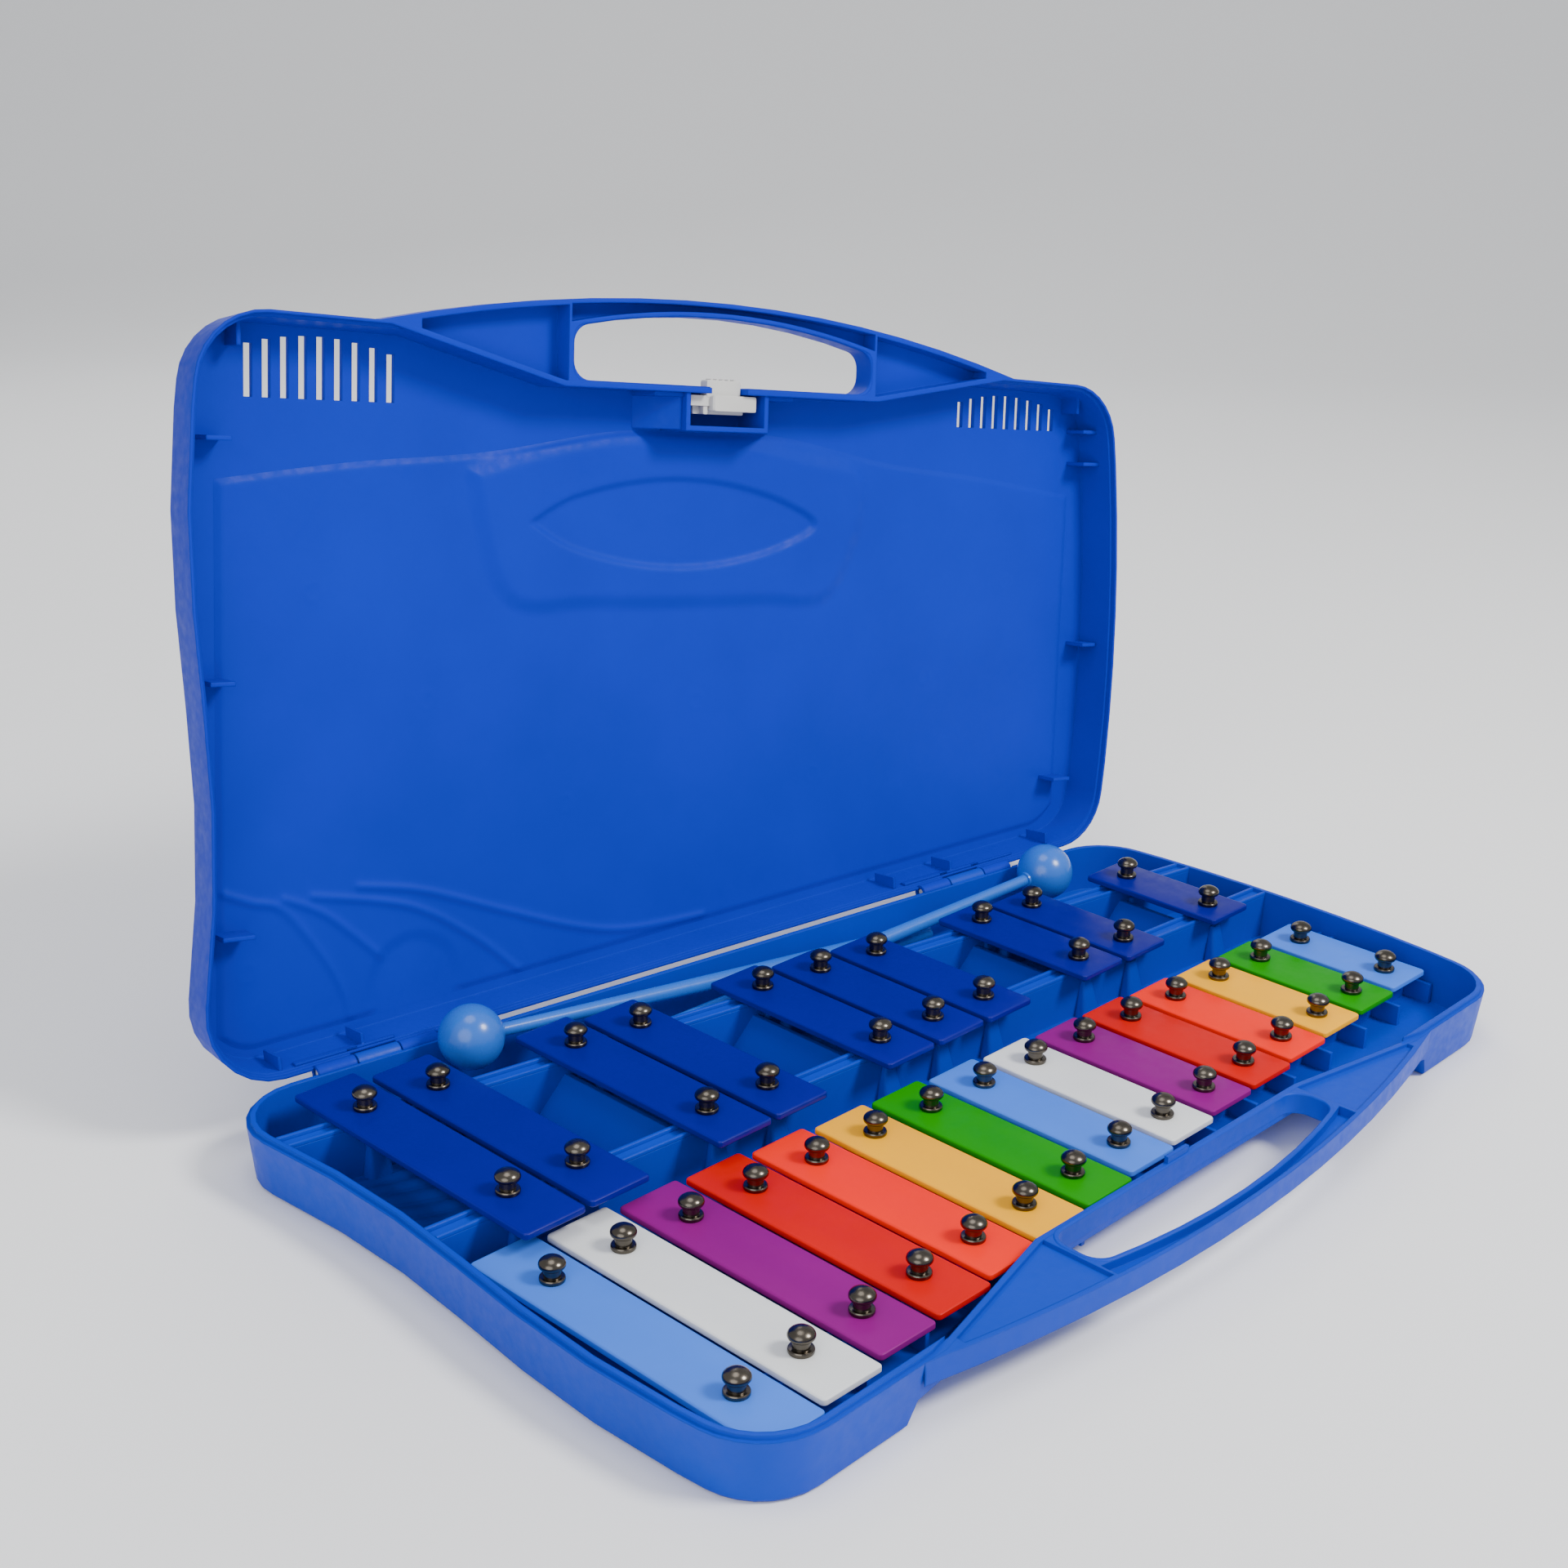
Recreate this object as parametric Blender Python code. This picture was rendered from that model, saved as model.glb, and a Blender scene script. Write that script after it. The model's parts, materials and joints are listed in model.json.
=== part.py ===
"""A 25-bar glockenspiel in a hinged carrying case, with its lid standing open.

World frame in metres: z = 0 is the flat underside of the tray, +X runs along the bars
from the low notes to the high ones, +Y runs from the grip towards the hinge.
Sizes below are in millimetres. The lid is modelled closed and its empty opens it.
"""

import math

import bmesh
import bpy
from mathutils import Matrix, Vector

MM = 0.001

# ---- heights and edges that the rest follows ----
RIM = 21.0
FLOOR = 2.5
FRONT_Y = -60.1
HINGE_Y = 174.4

# ---- note bars ----
PITCH = 27.5
BAR_WIDTH = 25.0
BAR_THICKNESS = 2.5
BAR_CORNER = 1.5
LONGEST_BAR = 126.6
NATURALS = 15
OCTAVE = (0, 2, 4, 5, 7, 9, 10)
MIDDLE_NATURAL = 8
NATURAL_CENTRE_Y = FRONT_Y + 68.1
SHARP_CENTRE_Y = HINGE_Y - 71.1
SHARP_SLOPE = -0.105
NATURAL_TOP = RIM - 4.25
SHARP_LIFT = 8.6

# ---- pins and cushions ----
PIN_SHANK_R = 2.6
PIN_HEAD_R = 4.3
PIN_HEAD_LOW = 4.2
PIN_HEIGHT = 8.3
HOLE_GAP = 0.6
REST_GAP = 0.3
CUSHION_WIDTH = 6.0
CUSHION_THICKNESS = 1.4
NATURAL_PIN_ROWS = ((NATURAL_CENTRE_Y + 28.75, -0.0512), (NATURAL_CENTRE_Y - 30.2, 0.0527))
SHARP_PIN_ROWS = ((SHARP_CENTRE_Y + 29.1, -0.1525), (SHARP_CENTRE_Y - 29.35, -0.0573))
RAIL_WIDTH = 7.5

# ---- case outline ----
LEFT_MEAN = 213.8
LEFT_SWING = 4.0
LEFT_BELLY_Y = 2.0
LEFT_HALF_WAVE = 118.0
RIGHT_BELLY = 217.5
RIGHT_BELLY_Y = 59.0
RIGHT_BOW = 1323.0
FRONT_SLOPE = 0.0227
HINGE_TILT = math.radians(-7.7)
REAR_INSET = 1.5
CORNER_R = 26.0
SIDE_STATIONS = 7
CORNER_STEPS = 7

# ---- tray ----
TRAY_DRAFT = 2.2
LEDGE = 1.4
LIP = 1.8
LIP_HEIGHT = 1.4
CAVITY_DRAFT = 0.8

# ---- lid ----
SEAT_GAP = 0.3
LID_DEPTH = 20.2
LID_WALL = 2.4
LID_ROOF = 2.0
LID_DRAFT = 1.4
LID_CROWN = 2.4
LIP_RELIEF = 1.1
LIP_POCKET = 2.0
OPEN_ANGLE = math.radians(99.1)

# ---- carrying grip ----
GRIP_JOIN_X = 148.5
GRIP_BOW = 17.9
GRIP_STEPS = 14
V_CORNER_X = 74.0
V_Y = FRONT_Y + 15.8
GRIP_WALL = 2.1
TRAY_GRIP_LOW = 13.0
TRAY_FLAT = RIM - 1.4
FLAT_THICKNESS = 2.0
LID_GRIP_HIGH = 10.0
RAMP_RUN = 12.0
RAMP_TOP = 12.5
RAMP_SKIN = 3.7
HOLE_HALF = 70.5
HOLE_FRONT_Y = FRONT_Y - 12.5
HOLE_FRONT_BOW = 8.0
HOLE_CORNER = 5.0
FLAT_TIP = 14.0
SEAM = 1.0

# ---- vents ----
VENTS = 9
VENT_FIRST_X = 135.0
VENT_STEP = 6.7
VENT_WIDTH = 3.0
VENT_REAR_Y = FRONT_Y + 24.1
VENT_END_LIFT = 4.0
VENT_WALL_GAP = 6.5

# ---- hinge ----
KNUCKLE_R = 3.2
KNUCKLE_CLEAR = 0.7
ROD_R = 1.5
ROD_CLEAR = 0.35
ROD_SHORT = 0.5
ZONES = ((-174.0, -126.0), (108.0, 158.0))
END_KNUCKLE = 15.0
KNUCKLE_GAP = 0.6

# ---- latch ----
BOX_HALF = 19.5
BOX_REAR_Y = V_Y + 14.3
BOX_WALL = 2.0
SLIDER_HALF = 12.0
SLIDER_FRONT_Y = V_Y - 5.3
SLIDER_REAR_Y = V_Y + 7.8
SLIDER_LOW = 4.0
SLIDER_HIGH = 9.0
SLIDER_CLEAR = 0.5
TAB_HALF = 8.0
CATCH_HALF = 6.0
CATCH_RISE = 2.6

# ---- mallets ----
HEAD_R = 12.0
NECK_R = 2.4
TAIL_R = 4.2
MALLET_LENGTH = 224.0
HEAD_SOCKET = 9.0
LEFT_HEAD = Vector((-122.0, HINGE_Y - 0.2, RIM + 6.0))
LEFT_TAIL = Vector((105.0, HINGE_Y - 27.9, RIM - 12.0))
RIGHT_HEAD = Vector((160.0, HINGE_Y - 39.6, RIM + 2.5))
RIGHT_TAIL = Vector((-59.0, HINGE_Y - 17.8, RIM - 12.0))

COLOURS = {
    "case_blue": ((0.0, 0.13, 0.5), 0.42, 0.0),
    "mallet_blue": ((0.05, 0.22, 0.62), 0.3, 0.0),
    "sharp_blue": ((0.0, 0.016, 0.35), 0.35, 0.3),
    "light_blue": ((0.147, 0.319, 0.807), 0.35, 0.2),
    "white": ((0.68, 0.69, 0.7), 0.35, 0.2),
    "purple": ((0.28, 0.0, 0.215), 0.35, 0.2),
    "red": ((0.63, 0.0, 0.008), 0.35, 0.2),
    "orange": ((0.97, 0.042, 0.003), 0.35, 0.2),
    "yellow": ((1.0, 0.54, 0.05), 0.35, 0.2),
    "green": ((0.0, 0.3, 0.0), 0.35, 0.2),
    "cushion": ((0.5, 0.5, 0.48), 0.9, 0.0),
    "steel": ((0.55, 0.55, 0.56), 0.3, 1.0),
    "latch_grey": ((0.58, 0.58, 0.58), 0.5, 0.0),
}
NATURAL_COLOURS = ("light_blue", "white", "purple", "red", "orange", "yellow", "green")


def clear_scene():
    """Remove every object of the start-up scene."""
    for item in list(bpy.data.objects):
        bpy.data.objects.remove(item, do_unlink=True)


def material(name):
    """One Principled material by its name in COLOURS."""
    found = bpy.data.materials.get(name)
    if found:
        return found
    colour, roughness, metallic = COLOURS[name]
    made = bpy.data.materials.new(name)
    made.use_nodes = True
    shader = made.node_tree.nodes["Principled BSDF"]
    shader.inputs["Base Color"].default_value = (*colour, 1.0)
    shader.inputs["Roughness"].default_value = roughness
    shader.inputs["Metallic"].default_value = metallic
    return made


def add_mesh(name, points, faces, colour=None):
    """A mesh object from points in millimetres."""
    mesh = bpy.data.meshes.new(name)
    mesh.from_pydata([Vector(p) * MM for p in points], [], faces)
    item = bpy.data.objects.new(name, mesh)
    bpy.context.scene.collection.objects.link(item)
    tidy = bmesh.new()
    tidy.from_mesh(mesh)
    bmesh.ops.recalc_face_normals(tidy, faces=tidy.faces)
    tidy.to_mesh(mesh)
    tidy.free()
    if colour:
        mesh.materials.append(material(colour))
    return item


def loft(name, levels, colour=None):
    """A closed solid through rings of equal count: levels are (z, [(x, y), ...])."""
    count = len(levels[0][1])
    points = [(x, y, z) for z, ring in levels for x, y in ring]
    faces = [list(range(count))[::-1]]
    faces.append([(len(levels) - 1) * count + i for i in range(count)])
    for level in range(len(levels) - 1):
        base = level * count
        for i in range(count):
            j = (i + 1) % count
            faces.append([base + i, base + j, base + count + j, base + count + i])
    return add_mesh(name, points, faces, colour)


def prism(name, ring, low, high, colour=None):
    """An upright solid of one outline."""
    return loft(name, [(low, ring), (high, ring)], colour)


def shells(name, parts, colour=None):
    """Several closed shells, given as objects, merged into one object without joining."""
    points = []
    faces = []
    for part in parts:
        offset = len(points)
        points += [v.co / MM for v in part.data.vertices]
        faces += [[offset + i for i in f.vertices] for f in part.data.polygons]
        bpy.data.objects.remove(part, do_unlink=True)
    return add_mesh(name, points, faces, colour)


def combine(target, tool, operation):
    """Join or cut the target with a helper solid, which stays hidden."""
    step = target.modifiers.new(f"{operation.lower()}_{tool.name}", "BOOLEAN")
    step.operation = operation
    step.solver = "EXACT"
    step.object = tool
    tool.hide_render = True
    tool.display_type = "WIRE"


def join(target, tool):
    """Boolean union."""
    combine(target, tool, "UNION")


def cut(target, tool):
    """Boolean difference."""
    combine(target, tool, "DIFFERENCE")


def rounded(points, radii, steps):
    """The polygon with each corner that has a radius turned into an arc."""
    ring = []
    for i, (point, radius) in enumerate(zip(points, radii)):
        here = Vector(point)
        before = (here - Vector(points[i - 1])).normalized()
        after = (Vector(points[(i + 1) % len(points)]) - here).normalized()
        if radius <= 0:
            ring.append(tuple(here))
            continue
        turn = before.angle_signed(after) * -1.0
        reach = radius * math.tan(abs(turn) / 2)
        start = here - before * reach
        side = math.copysign(1.0, turn)
        centre = start + Vector((-before.y, before.x)) * radius * side
        spoke = start - centre
        for k in range(steps + 1):
            angle = turn * k / steps
            swung = Vector((
                spoke.x * math.cos(angle) - spoke.y * math.sin(angle),
                spoke.x * math.sin(angle) + spoke.y * math.cos(angle),
            ))
            ring.append(tuple(centre + swung))
    return ring


def inset(points, distance):
    """The anticlockwise polygon moved inwards by a distance (outwards if negative)."""
    moved = []
    for i, point in enumerate(points):
        here = Vector(point)
        before = (here - Vector(points[i - 1])).normalized()
        after = (Vector(points[(i + 1) % len(points)]) - here).normalized()
        first = Vector((-before.y, before.x))
        second = Vector((-after.y, after.x))
        moved.append(tuple(here + (first + second) * (distance / (1 + first.dot(second)))))
    return moved


def front_y(x):
    """The front edge of the case."""
    return FRONT_Y + FRONT_SLOPE * x


def hinge_y(x):
    """The hinge line, seen from above."""
    return HINGE_Y + math.tan(HINGE_TILT) * x


def left_x(y):
    """The left side: a belly near the front and a waist near the hinge."""
    return -(LEFT_MEAN + LEFT_SWING * math.cos(math.pi * (y - LEFT_BELLY_Y) / LEFT_HALF_WAVE))


def right_x(y):
    """The right side: one shallow bow."""
    return RIGHT_BELLY - (y - RIGHT_BELLY_Y) ** 2 / RIGHT_BOW


def along_hinge(distance, lift=0.0, back=0.0):
    """A point on the hinge line, this far from x = 0, moved up and backwards."""
    along = Vector((math.cos(HINGE_TILT), math.sin(HINGE_TILT), 0.0))
    rear = Vector((-along.y, along.x, 0.0))
    return Vector((0.0, HINGE_Y, RIM + lift)) + along * distance + rear * back


def rear_y(x):
    """The outer face of the rear wall."""
    return hinge_y(x) - REAR_INSET / math.cos(HINGE_TILT)


def case_outline(distance):
    """The rim's outline, moved inwards by a distance, anticlockwise from the front left."""
    front_left = left_x(front_y(-LEFT_MEAN))
    front_right = right_x(front_y(RIGHT_BELLY))
    rear_right = right_x(rear_y(RIGHT_BELLY))
    rear_left = left_x(rear_y(-LEFT_MEAN))
    corners = [(front_left, front_y(front_left)), (front_right, front_y(front_right))]
    right_end = rear_y(rear_right)
    left_end = rear_y(rear_left)
    room = CORNER_R * 1.3
    right = side_points(right_x, corners[1][1] + room, right_end - room)
    left = side_points(left_x, left_end - room, corners[0][1] + room)
    points = corners + right + [(rear_right, right_end), (rear_left, left_end)] + left
    radii = [0.0] * len(points)
    for i in (0, 1, 2 + len(right), 3 + len(right)):
        radii[i] = CORNER_R - distance
    return rounded(inset(points, distance), radii, CORNER_STEPS)


def side_points(side, first, last):
    """Evenly spaced stations along one side of the case."""
    steps = [first + (last - first) * i / (SIDE_STATIONS - 1) for i in range(SIDE_STATIONS)]
    return [(side(y), y) for y in steps]


def grip_arc(x):
    """The outer edge of the grip: a shallow arc bowed forward from the front edge."""
    return front_y(x) - GRIP_BOW * (1 - (x / GRIP_JOIN_X) ** 2)


def v_line(shift):
    """The inner faces of the diagonal walls behind the grip, left to right, moved back by a shift."""
    spread = GRIP_JOIN_X + 0.4 * shift
    return [
        (-spread, front_y(-GRIP_JOIN_X) + shift),
        (-V_CORNER_X, V_Y + shift),
        (V_CORNER_X, V_Y + shift),
        (spread, front_y(GRIP_JOIN_X) + shift),
    ]


def v_region(shift):
    """All that lies in front of the diagonal walls, anticlockwise."""
    line = v_line(shift)
    ahead = FRONT_Y - 3 * GRIP_BOW
    return [(line[0][0], ahead), (line[-1][0], ahead)] + line[::-1]


def grip_outline(overlap):
    """The grip in plan, reaching back past the diagonal walls by an overlap."""
    count = GRIP_STEPS
    xs = [GRIP_JOIN_X * (2 * i / count - 1) for i in range(count + 1)]
    front = [(x, grip_arc(x)) for x in xs]
    back = v_line(overlap)
    return front + [back[2], back[1]]


def hand_hole(outset):
    """The finger opening, moved outwards by an outset."""
    half = HOLE_HALF
    front = []
    for i in range(7):
        x = -half + 2 * half * i / 6
        front.append((x, HOLE_FRONT_Y + HOLE_FRONT_BOW * (x / half) ** 2 + FRONT_SLOPE * x))
    points = front + [(half, V_Y - GRIP_WALL), (-half, V_Y - GRIP_WALL)]
    radii = [0.0] * len(points)
    for i in (0, 6, 7, 8):
        radii[i] = HOLE_CORNER + outset
    return rounded(inset(points, -outset), radii, 3)


def grip_flat(side, margin):
    """The triangular flat beside the finger opening, blunted at its tip, inside its walls."""
    near = HOLE_HALF
    tip = GRIP_JOIN_X - FLAT_TIP
    share = (tip - V_CORNER_X) / (GRIP_JOIN_X - V_CORNER_X)
    tip_y = V_Y + (front_y(side * GRIP_JOIN_X) - V_Y) * share
    xs = [near + (tip - near) * i / 5 for i in range(6)]
    front = [(side * x, grip_arc(side * x)) for x in xs]
    rear = [(side * tip, tip_y), (side * V_CORNER_X, V_Y), (side * near, V_Y)]
    ring = front + rear
    return inset(ring[::side], margin)


def tube_between(name, start, end, radius, sides=12, end_radius=None):
    """A straight round bar, or a cone, between two points in millimetres."""
    start = Vector(start)
    end = Vector(end)
    axis = (end - start).normalized()
    turn = Vector((0, 0, 1)).rotation_difference(axis).to_matrix()
    last = radius if end_radius is None else end_radius
    points = []
    for centre, r in ((start, radius), (end, last)):
        for i in range(sides):
            angle = 2 * math.pi * (i + 0.5) / sides
            points.append(centre + turn @ Vector((r * math.cos(angle), r * math.sin(angle), 0)))
    faces = [list(range(sides))[::-1], list(range(sides, 2 * sides))]
    faces += [[i, (i + 1) % sides, sides + (i + 1) % sides, sides + i] for i in range(sides)]
    return add_mesh(name, points, faces)


def rail_ring(row, width, start, end):
    """The plan of a strip along a slanting row, from one x to another."""
    base, slope = row
    half = width / 2 * math.hypot(1, slope)
    return [
        (start, base + slope * start - half),
        (end, base + slope * end - half),
        (end, base + slope * end + half),
        (start, base + slope * start + half),
    ]


def knuckle_spans(zone):
    """The lid's two end knuckles and the tray's middle one, as spans along the hinge."""
    low, high = zone
    lid = [(low, low + END_KNUCKLE), (high - END_KNUCKLE, high)]
    tray = [(low + END_KNUCKLE + KNUCKLE_GAP, high - END_KNUCKLE - KNUCKLE_GAP)]
    return lid, tray


def knuckles(name, which, radius, margin):
    """Round bars on the hinge line for the lid's spans (0) or the tray's (1)."""
    bars = []
    for zone in ZONES:
        for low, high in knuckle_spans(zone)[which]:
            start = along_hinge(low - margin)
            end = along_hinge(high + margin)
            bars.append(tube_between("knuckle", start, end, radius, 16))
    return shells(name, bars)


def bored_knuckles(name, which):
    """The lid's or the tray's knuckles, with the bore for the rods through them."""
    bars = knuckles(name, which, KNUCKLE_R, 0.0)
    cut(bars, rod_bores(f"{name}_bores", ROD_R + ROD_CLEAR))
    return bars


def rod_bores(name, radius):
    """Round cutters on both hinge rods."""
    bars = []
    for low, high in ZONES:
        start = along_hinge(low - KNUCKLE_GAP / 2)
        end = along_hinge(high + KNUCKLE_GAP / 2)
        bars.append(tube_between("bore", start, end, radius, 12))
    return shells(name, bars)


def tray_rails():
    """The four slanting rails that carry the bars, standing on the floor."""
    tops = rail_tops()
    rails = []
    rows = [(row, tops[0]) for row in NATURAL_PIN_ROWS]
    rows += [(row, tops[1]) for row in SHARP_PIN_ROWS]
    buried = LEDGE + LIP - 0.2
    for row, top in rows:
        start = left_x(row[0] - row[1] * LEFT_MEAN) + buried
        end = right_x(row[0] + row[1] * RIGHT_BELLY) - buried
        rails.append(prism("rail", rail_ring(row, RAIL_WIDTH, start, end), FLOOR / 2, top))
    return shells("tray_rails", rails)


def rail_tops():
    """Heights of the natural rails and of the sharp rails."""
    under = BAR_THICKNESS + CUSHION_THICKNESS + 2 * REST_GAP
    natural = NATURAL_TOP - under
    return natural, natural + SHARP_LIFT


def build_tray():
    """The lower half of the case, with its grip, rails and hinge knuckles."""
    tray = loft("base_tray", [
        (0.0, case_outline(TRAY_DRAFT + 0.8)),
        (1.0, case_outline(TRAY_DRAFT)),
        (RIM, case_outline(0.0)),
    ], "case_blue")
    join(tray, tray_lip())
    cut(tray, tray_undercut())
    join(tray, prism("tray_grip", grip_outline(SEAM - GRIP_WALL), TRAY_GRIP_LOW, RIM - 0.1))
    cut(tray, tray_cavity())
    cut(tray, shells("tray_flats", [
        prism("flat", grip_flat(side, GRIP_WALL), TRAY_FLAT, RIM + 5) for side in (-1, 1)
    ]))
    under = TRAY_FLAT - FLAT_THICKNESS
    cut(tray, shells("tray_pockets", [
        prism("pocket", grip_flat(side, GRIP_WALL), TRAY_GRIP_LOW - 5, under) for side in (-1, 1)
    ]))
    cut(tray, prism("tray_hand_hole", hand_hole(0.0), -5.0, RIM + 5))
    join(tray, tray_rails())
    join(tray, catch_block())
    cut(tray, knuckles("tray_notches", 0, KNUCKLE_R + KNUCKLE_CLEAR, KNUCKLE_GAP))
    cut(tray, rod_bores("tray_rod_room", ROD_R + 2 * ROD_CLEAR))
    join(tray, bored_knuckles("tray_knuckles", 1))
    return tray


def tray_lip():
    """The upstanding lip inside the rim, which stops short of the grip."""
    lip = loft("tray_lip", [
        (RIM - 3.0, case_outline(LEDGE)),
        (RIM + LIP_HEIGHT, case_outline(LEDGE)),
    ])
    cut(lip, prism("tray_lip_gap", v_region(SEAT_GAP), RIM - 6, RIM + 6))
    return lip


def ramp_slope():
    """How far the ramp behind the grip runs back for each millimetre down."""
    return RAMP_RUN / (RAMP_TOP - FLOOR)


def tray_undercut():
    """What is missing below and in front of the grip: the tray's underside rises to it."""
    slope = ramp_slope()
    start = RAMP_TOP * slope - RAMP_SKIN
    level = (start + GRIP_WALL) / slope
    return loft("tray_undercut", [
        (-1.0, v_region(start + slope)),
        (level, v_region(-GRIP_WALL)),
        (RIM + 5, v_region(-GRIP_WALL)),
    ])


def tray_cavity():
    """The inside of the tray, kept back from the ramp behind the grip."""
    wall = LEDGE + LIP
    cavity = loft("tray_cavity", [
        (FLOOR, case_outline(wall + CAVITY_DRAFT)),
        (RIM + 5, case_outline(wall)),
    ])
    cut(cavity, loft("tray_ramp", [
        (FLOOR - 1, v_region(RAMP_RUN + ramp_slope())),
        (RAMP_TOP, v_region(0.0)),
        (RIM + 6, v_region(0.0)),
    ]))
    return cavity


def catch_block():
    """The tongue behind the finger opening that the latch takes hold of."""
    front = V_Y - GRIP_WALL + SEAT_GAP
    rear = V_Y - SEAT_GAP
    ring = [(-CATCH_HALF, front), (CATCH_HALF, front), (CATCH_HALF, rear), (-CATCH_HALF, rear)]
    return prism("tray_catch", ring, RIM - 4, RIM + CATCH_RISE)


def build_lid():
    """The upper half of the case, modelled closed over the tray."""
    seat = RIM + SEAT_GAP
    top = seat + LID_DEPTH
    lid = loft("lid_shell", [
        (seat, case_outline(0.0)),
        (top - LID_CROWN, case_outline(LID_DRAFT)),
        (top - LID_CROWN / 3, case_outline(LID_DRAFT + LID_CROWN / 3)),
        (top, case_outline(LID_DRAFT + LID_CROWN)),
    ], "case_blue")
    shelf = seat + LID_GRIP_HIGH
    cut(lid, prism("lid_step", v_region(-GRIP_WALL), seat - 5, top + 5))
    join(lid, prism("lid_grip", grip_outline(SEAM - GRIP_WALL), seat + 0.1, shelf))
    cut(lid, lid_cavity(seat, top))
    cut(lid, shells("lid_flats", [
        prism("flat", grip_flat(side, GRIP_WALL), seat - 5, shelf - FLAT_THICKNESS)
        for side in (-1, 1)
    ]))
    cut(lid, prism("lid_hand_hole", hand_hole(0.0), seat - 5, shelf + 5))
    join(lid, latch_box(seat, top))
    cut(lid, latch_window(seat))
    cut(lid, vents(top))
    cut(lid, knuckles("lid_notches", 1, KNUCKLE_R + KNUCKLE_CLEAR, KNUCKLE_GAP))
    cut(lid, rod_bores("lid_rod_room", ROD_R + 2 * ROD_CLEAR))
    join(lid, bored_knuckles("lid_knuckles", 0))
    return lid


def lid_cavity(seat, top):
    """The inside of the lid, with room for the tray's lip at its edge."""
    pocket = seat + LIP_POCKET
    cavity = loft("lid_cavity", [
        (seat - 2, case_outline(LIP_RELIEF)),
        (pocket, case_outline(LIP_RELIEF)),
        (pocket, case_outline(LID_WALL)),
        (top - LID_ROOF, case_outline(LID_WALL + LID_DRAFT)),
    ])
    cut(cavity, prism("lid_v_wall", v_region(0.0), seat - 5, top + 5))
    return cavity


def latch_box(seat, top):
    """The open box behind the finger opening that guides the latch."""
    front = V_Y - SEAM
    low = seat + SLIDER_LOW - 3.0
    high = top - LID_ROOF + 0.5
    wide = BOX_HALF
    outer = [(-wide, front), (wide, front), (wide, BOX_REAR_Y), (-wide, BOX_REAR_Y)]
    half = BOX_HALF - BOX_WALL
    rear = BOX_REAR_Y - BOX_WALL
    inner = [(-half, front - 2), (half, front - 2), (half, rear), (-half, rear)]
    box = prism("latch_box", outer, low, high)
    cut(box, prism("latch_box_inside", inner, low - 3, high + 3))
    return box


def latch_window(seat):
    """The opening in the wall behind the finger opening, where the thumb tab comes through."""
    half = TAB_HALF + SLIDER_CLEAR
    front = V_Y - GRIP_WALL - 1
    rear = V_Y + 1
    ring = [(-half, front), (half, front), (half, rear), (-half, rear)]
    return prism("latch_window", ring, seat - 2, seat + SLIDER_HIGH + SLIDER_CLEAR)


def vents(top):
    """Nine slots through the roof at each front corner."""
    slots = []
    for side in (-1, 1):
        for i in range(VENTS):
            x = side * (VENT_FIRST_X + VENT_STEP * i)
            end = (2 * i / (VENTS - 1) - 1) ** 2
            front = front_y(x) + VENT_WALL_GAP + VENT_END_LIFT * end
            half = VENT_WIDTH / 2
            rear = VENT_REAR_Y
            ring = [(x - half, front), (x + half, front), (x + half, rear), (x - half, rear)]
            slots.append(prism("vent", ring, top - 2 * LID_ROOF, top + 2))
    return shells("lid_vents", slots)


def build_slider():
    """The latch: a grey slider in its box, with a thumb tab through the wall."""
    seat = RIM + SEAT_GAP
    low = seat + SLIDER_LOW
    high = seat + SLIDER_HIGH
    inside = V_Y + SLIDER_CLEAR
    body = prism("latch_slider", [
        (-SLIDER_HALF, inside),
        (SLIDER_HALF, inside),
        (SLIDER_HALF, SLIDER_REAR_Y),
        (-SLIDER_HALF, SLIDER_REAR_Y),
    ], low, high, "latch_grey")
    join(body, prism("latch_tab", [
        (-TAB_HALF, SLIDER_FRONT_Y),
        (TAB_HALF, SLIDER_FRONT_Y),
        (TAB_HALF, inside + SEAM),
        (-TAB_HALF, inside + SEAM),
    ], low + 0.1, high - 0.1))
    return body


def notes():
    """(name, place along the row, semitones above the lowest note) of every natural and sharp."""
    steps = [OCTAVE[i % 7] + 12 * (i // 7) for i in range(NATURALS)]
    naturals = [(f"bar_natural_{i + 1:02d}", i + 1.0, s) for i, s in enumerate(steps)]
    gaps = [i for i in range(NATURALS - 1) if steps[i + 1] - steps[i] == 2]
    sharps = [(f"bar_sharp_{n + 1:02d}", i + 1.5, steps[i] + 1) for n, i in enumerate(gaps)]
    return naturals, sharps


def place_x(place):
    """The centre of the bar at a place along the row."""
    return (place - MIDDLE_NATURAL) * PITCH


def bar_length(semitones):
    """Bars shorten by a factor of the square root of two per octave."""
    return LONGEST_BAR * 2 ** (-semitones / 24)


def build_bar(name, place, semitones, centre_y, top, rows, colour):
    """One note bar with a clearance hole for each of its two pins."""
    x = place_x(place)
    half_w = BAR_WIDTH / 2
    half_l = bar_length(semitones) / 2
    corners = [(-half_w, -half_l), (half_w, -half_l), (half_w, half_l), (-half_w, half_l)]
    ring = rounded(corners, [BAR_CORNER] * 4, 2)
    bar = prism(name, ring, -BAR_THICKNESS, 0.0, colour)
    bar.location = Vector((x, centre_y, top)) * MM
    holes = []
    for base, slope in rows:
        y = base + slope * x - centre_y
        start = (0, y, -BAR_THICKNESS - 2)
        holes.append(tube_between("hole", start, (0, y, 2), PIN_SHANK_R + HOLE_GAP, 8))
    tool = shells(f"{name}_holes", holes)
    tool.location = bar.location
    cut(bar, tool)
    return bar


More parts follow.
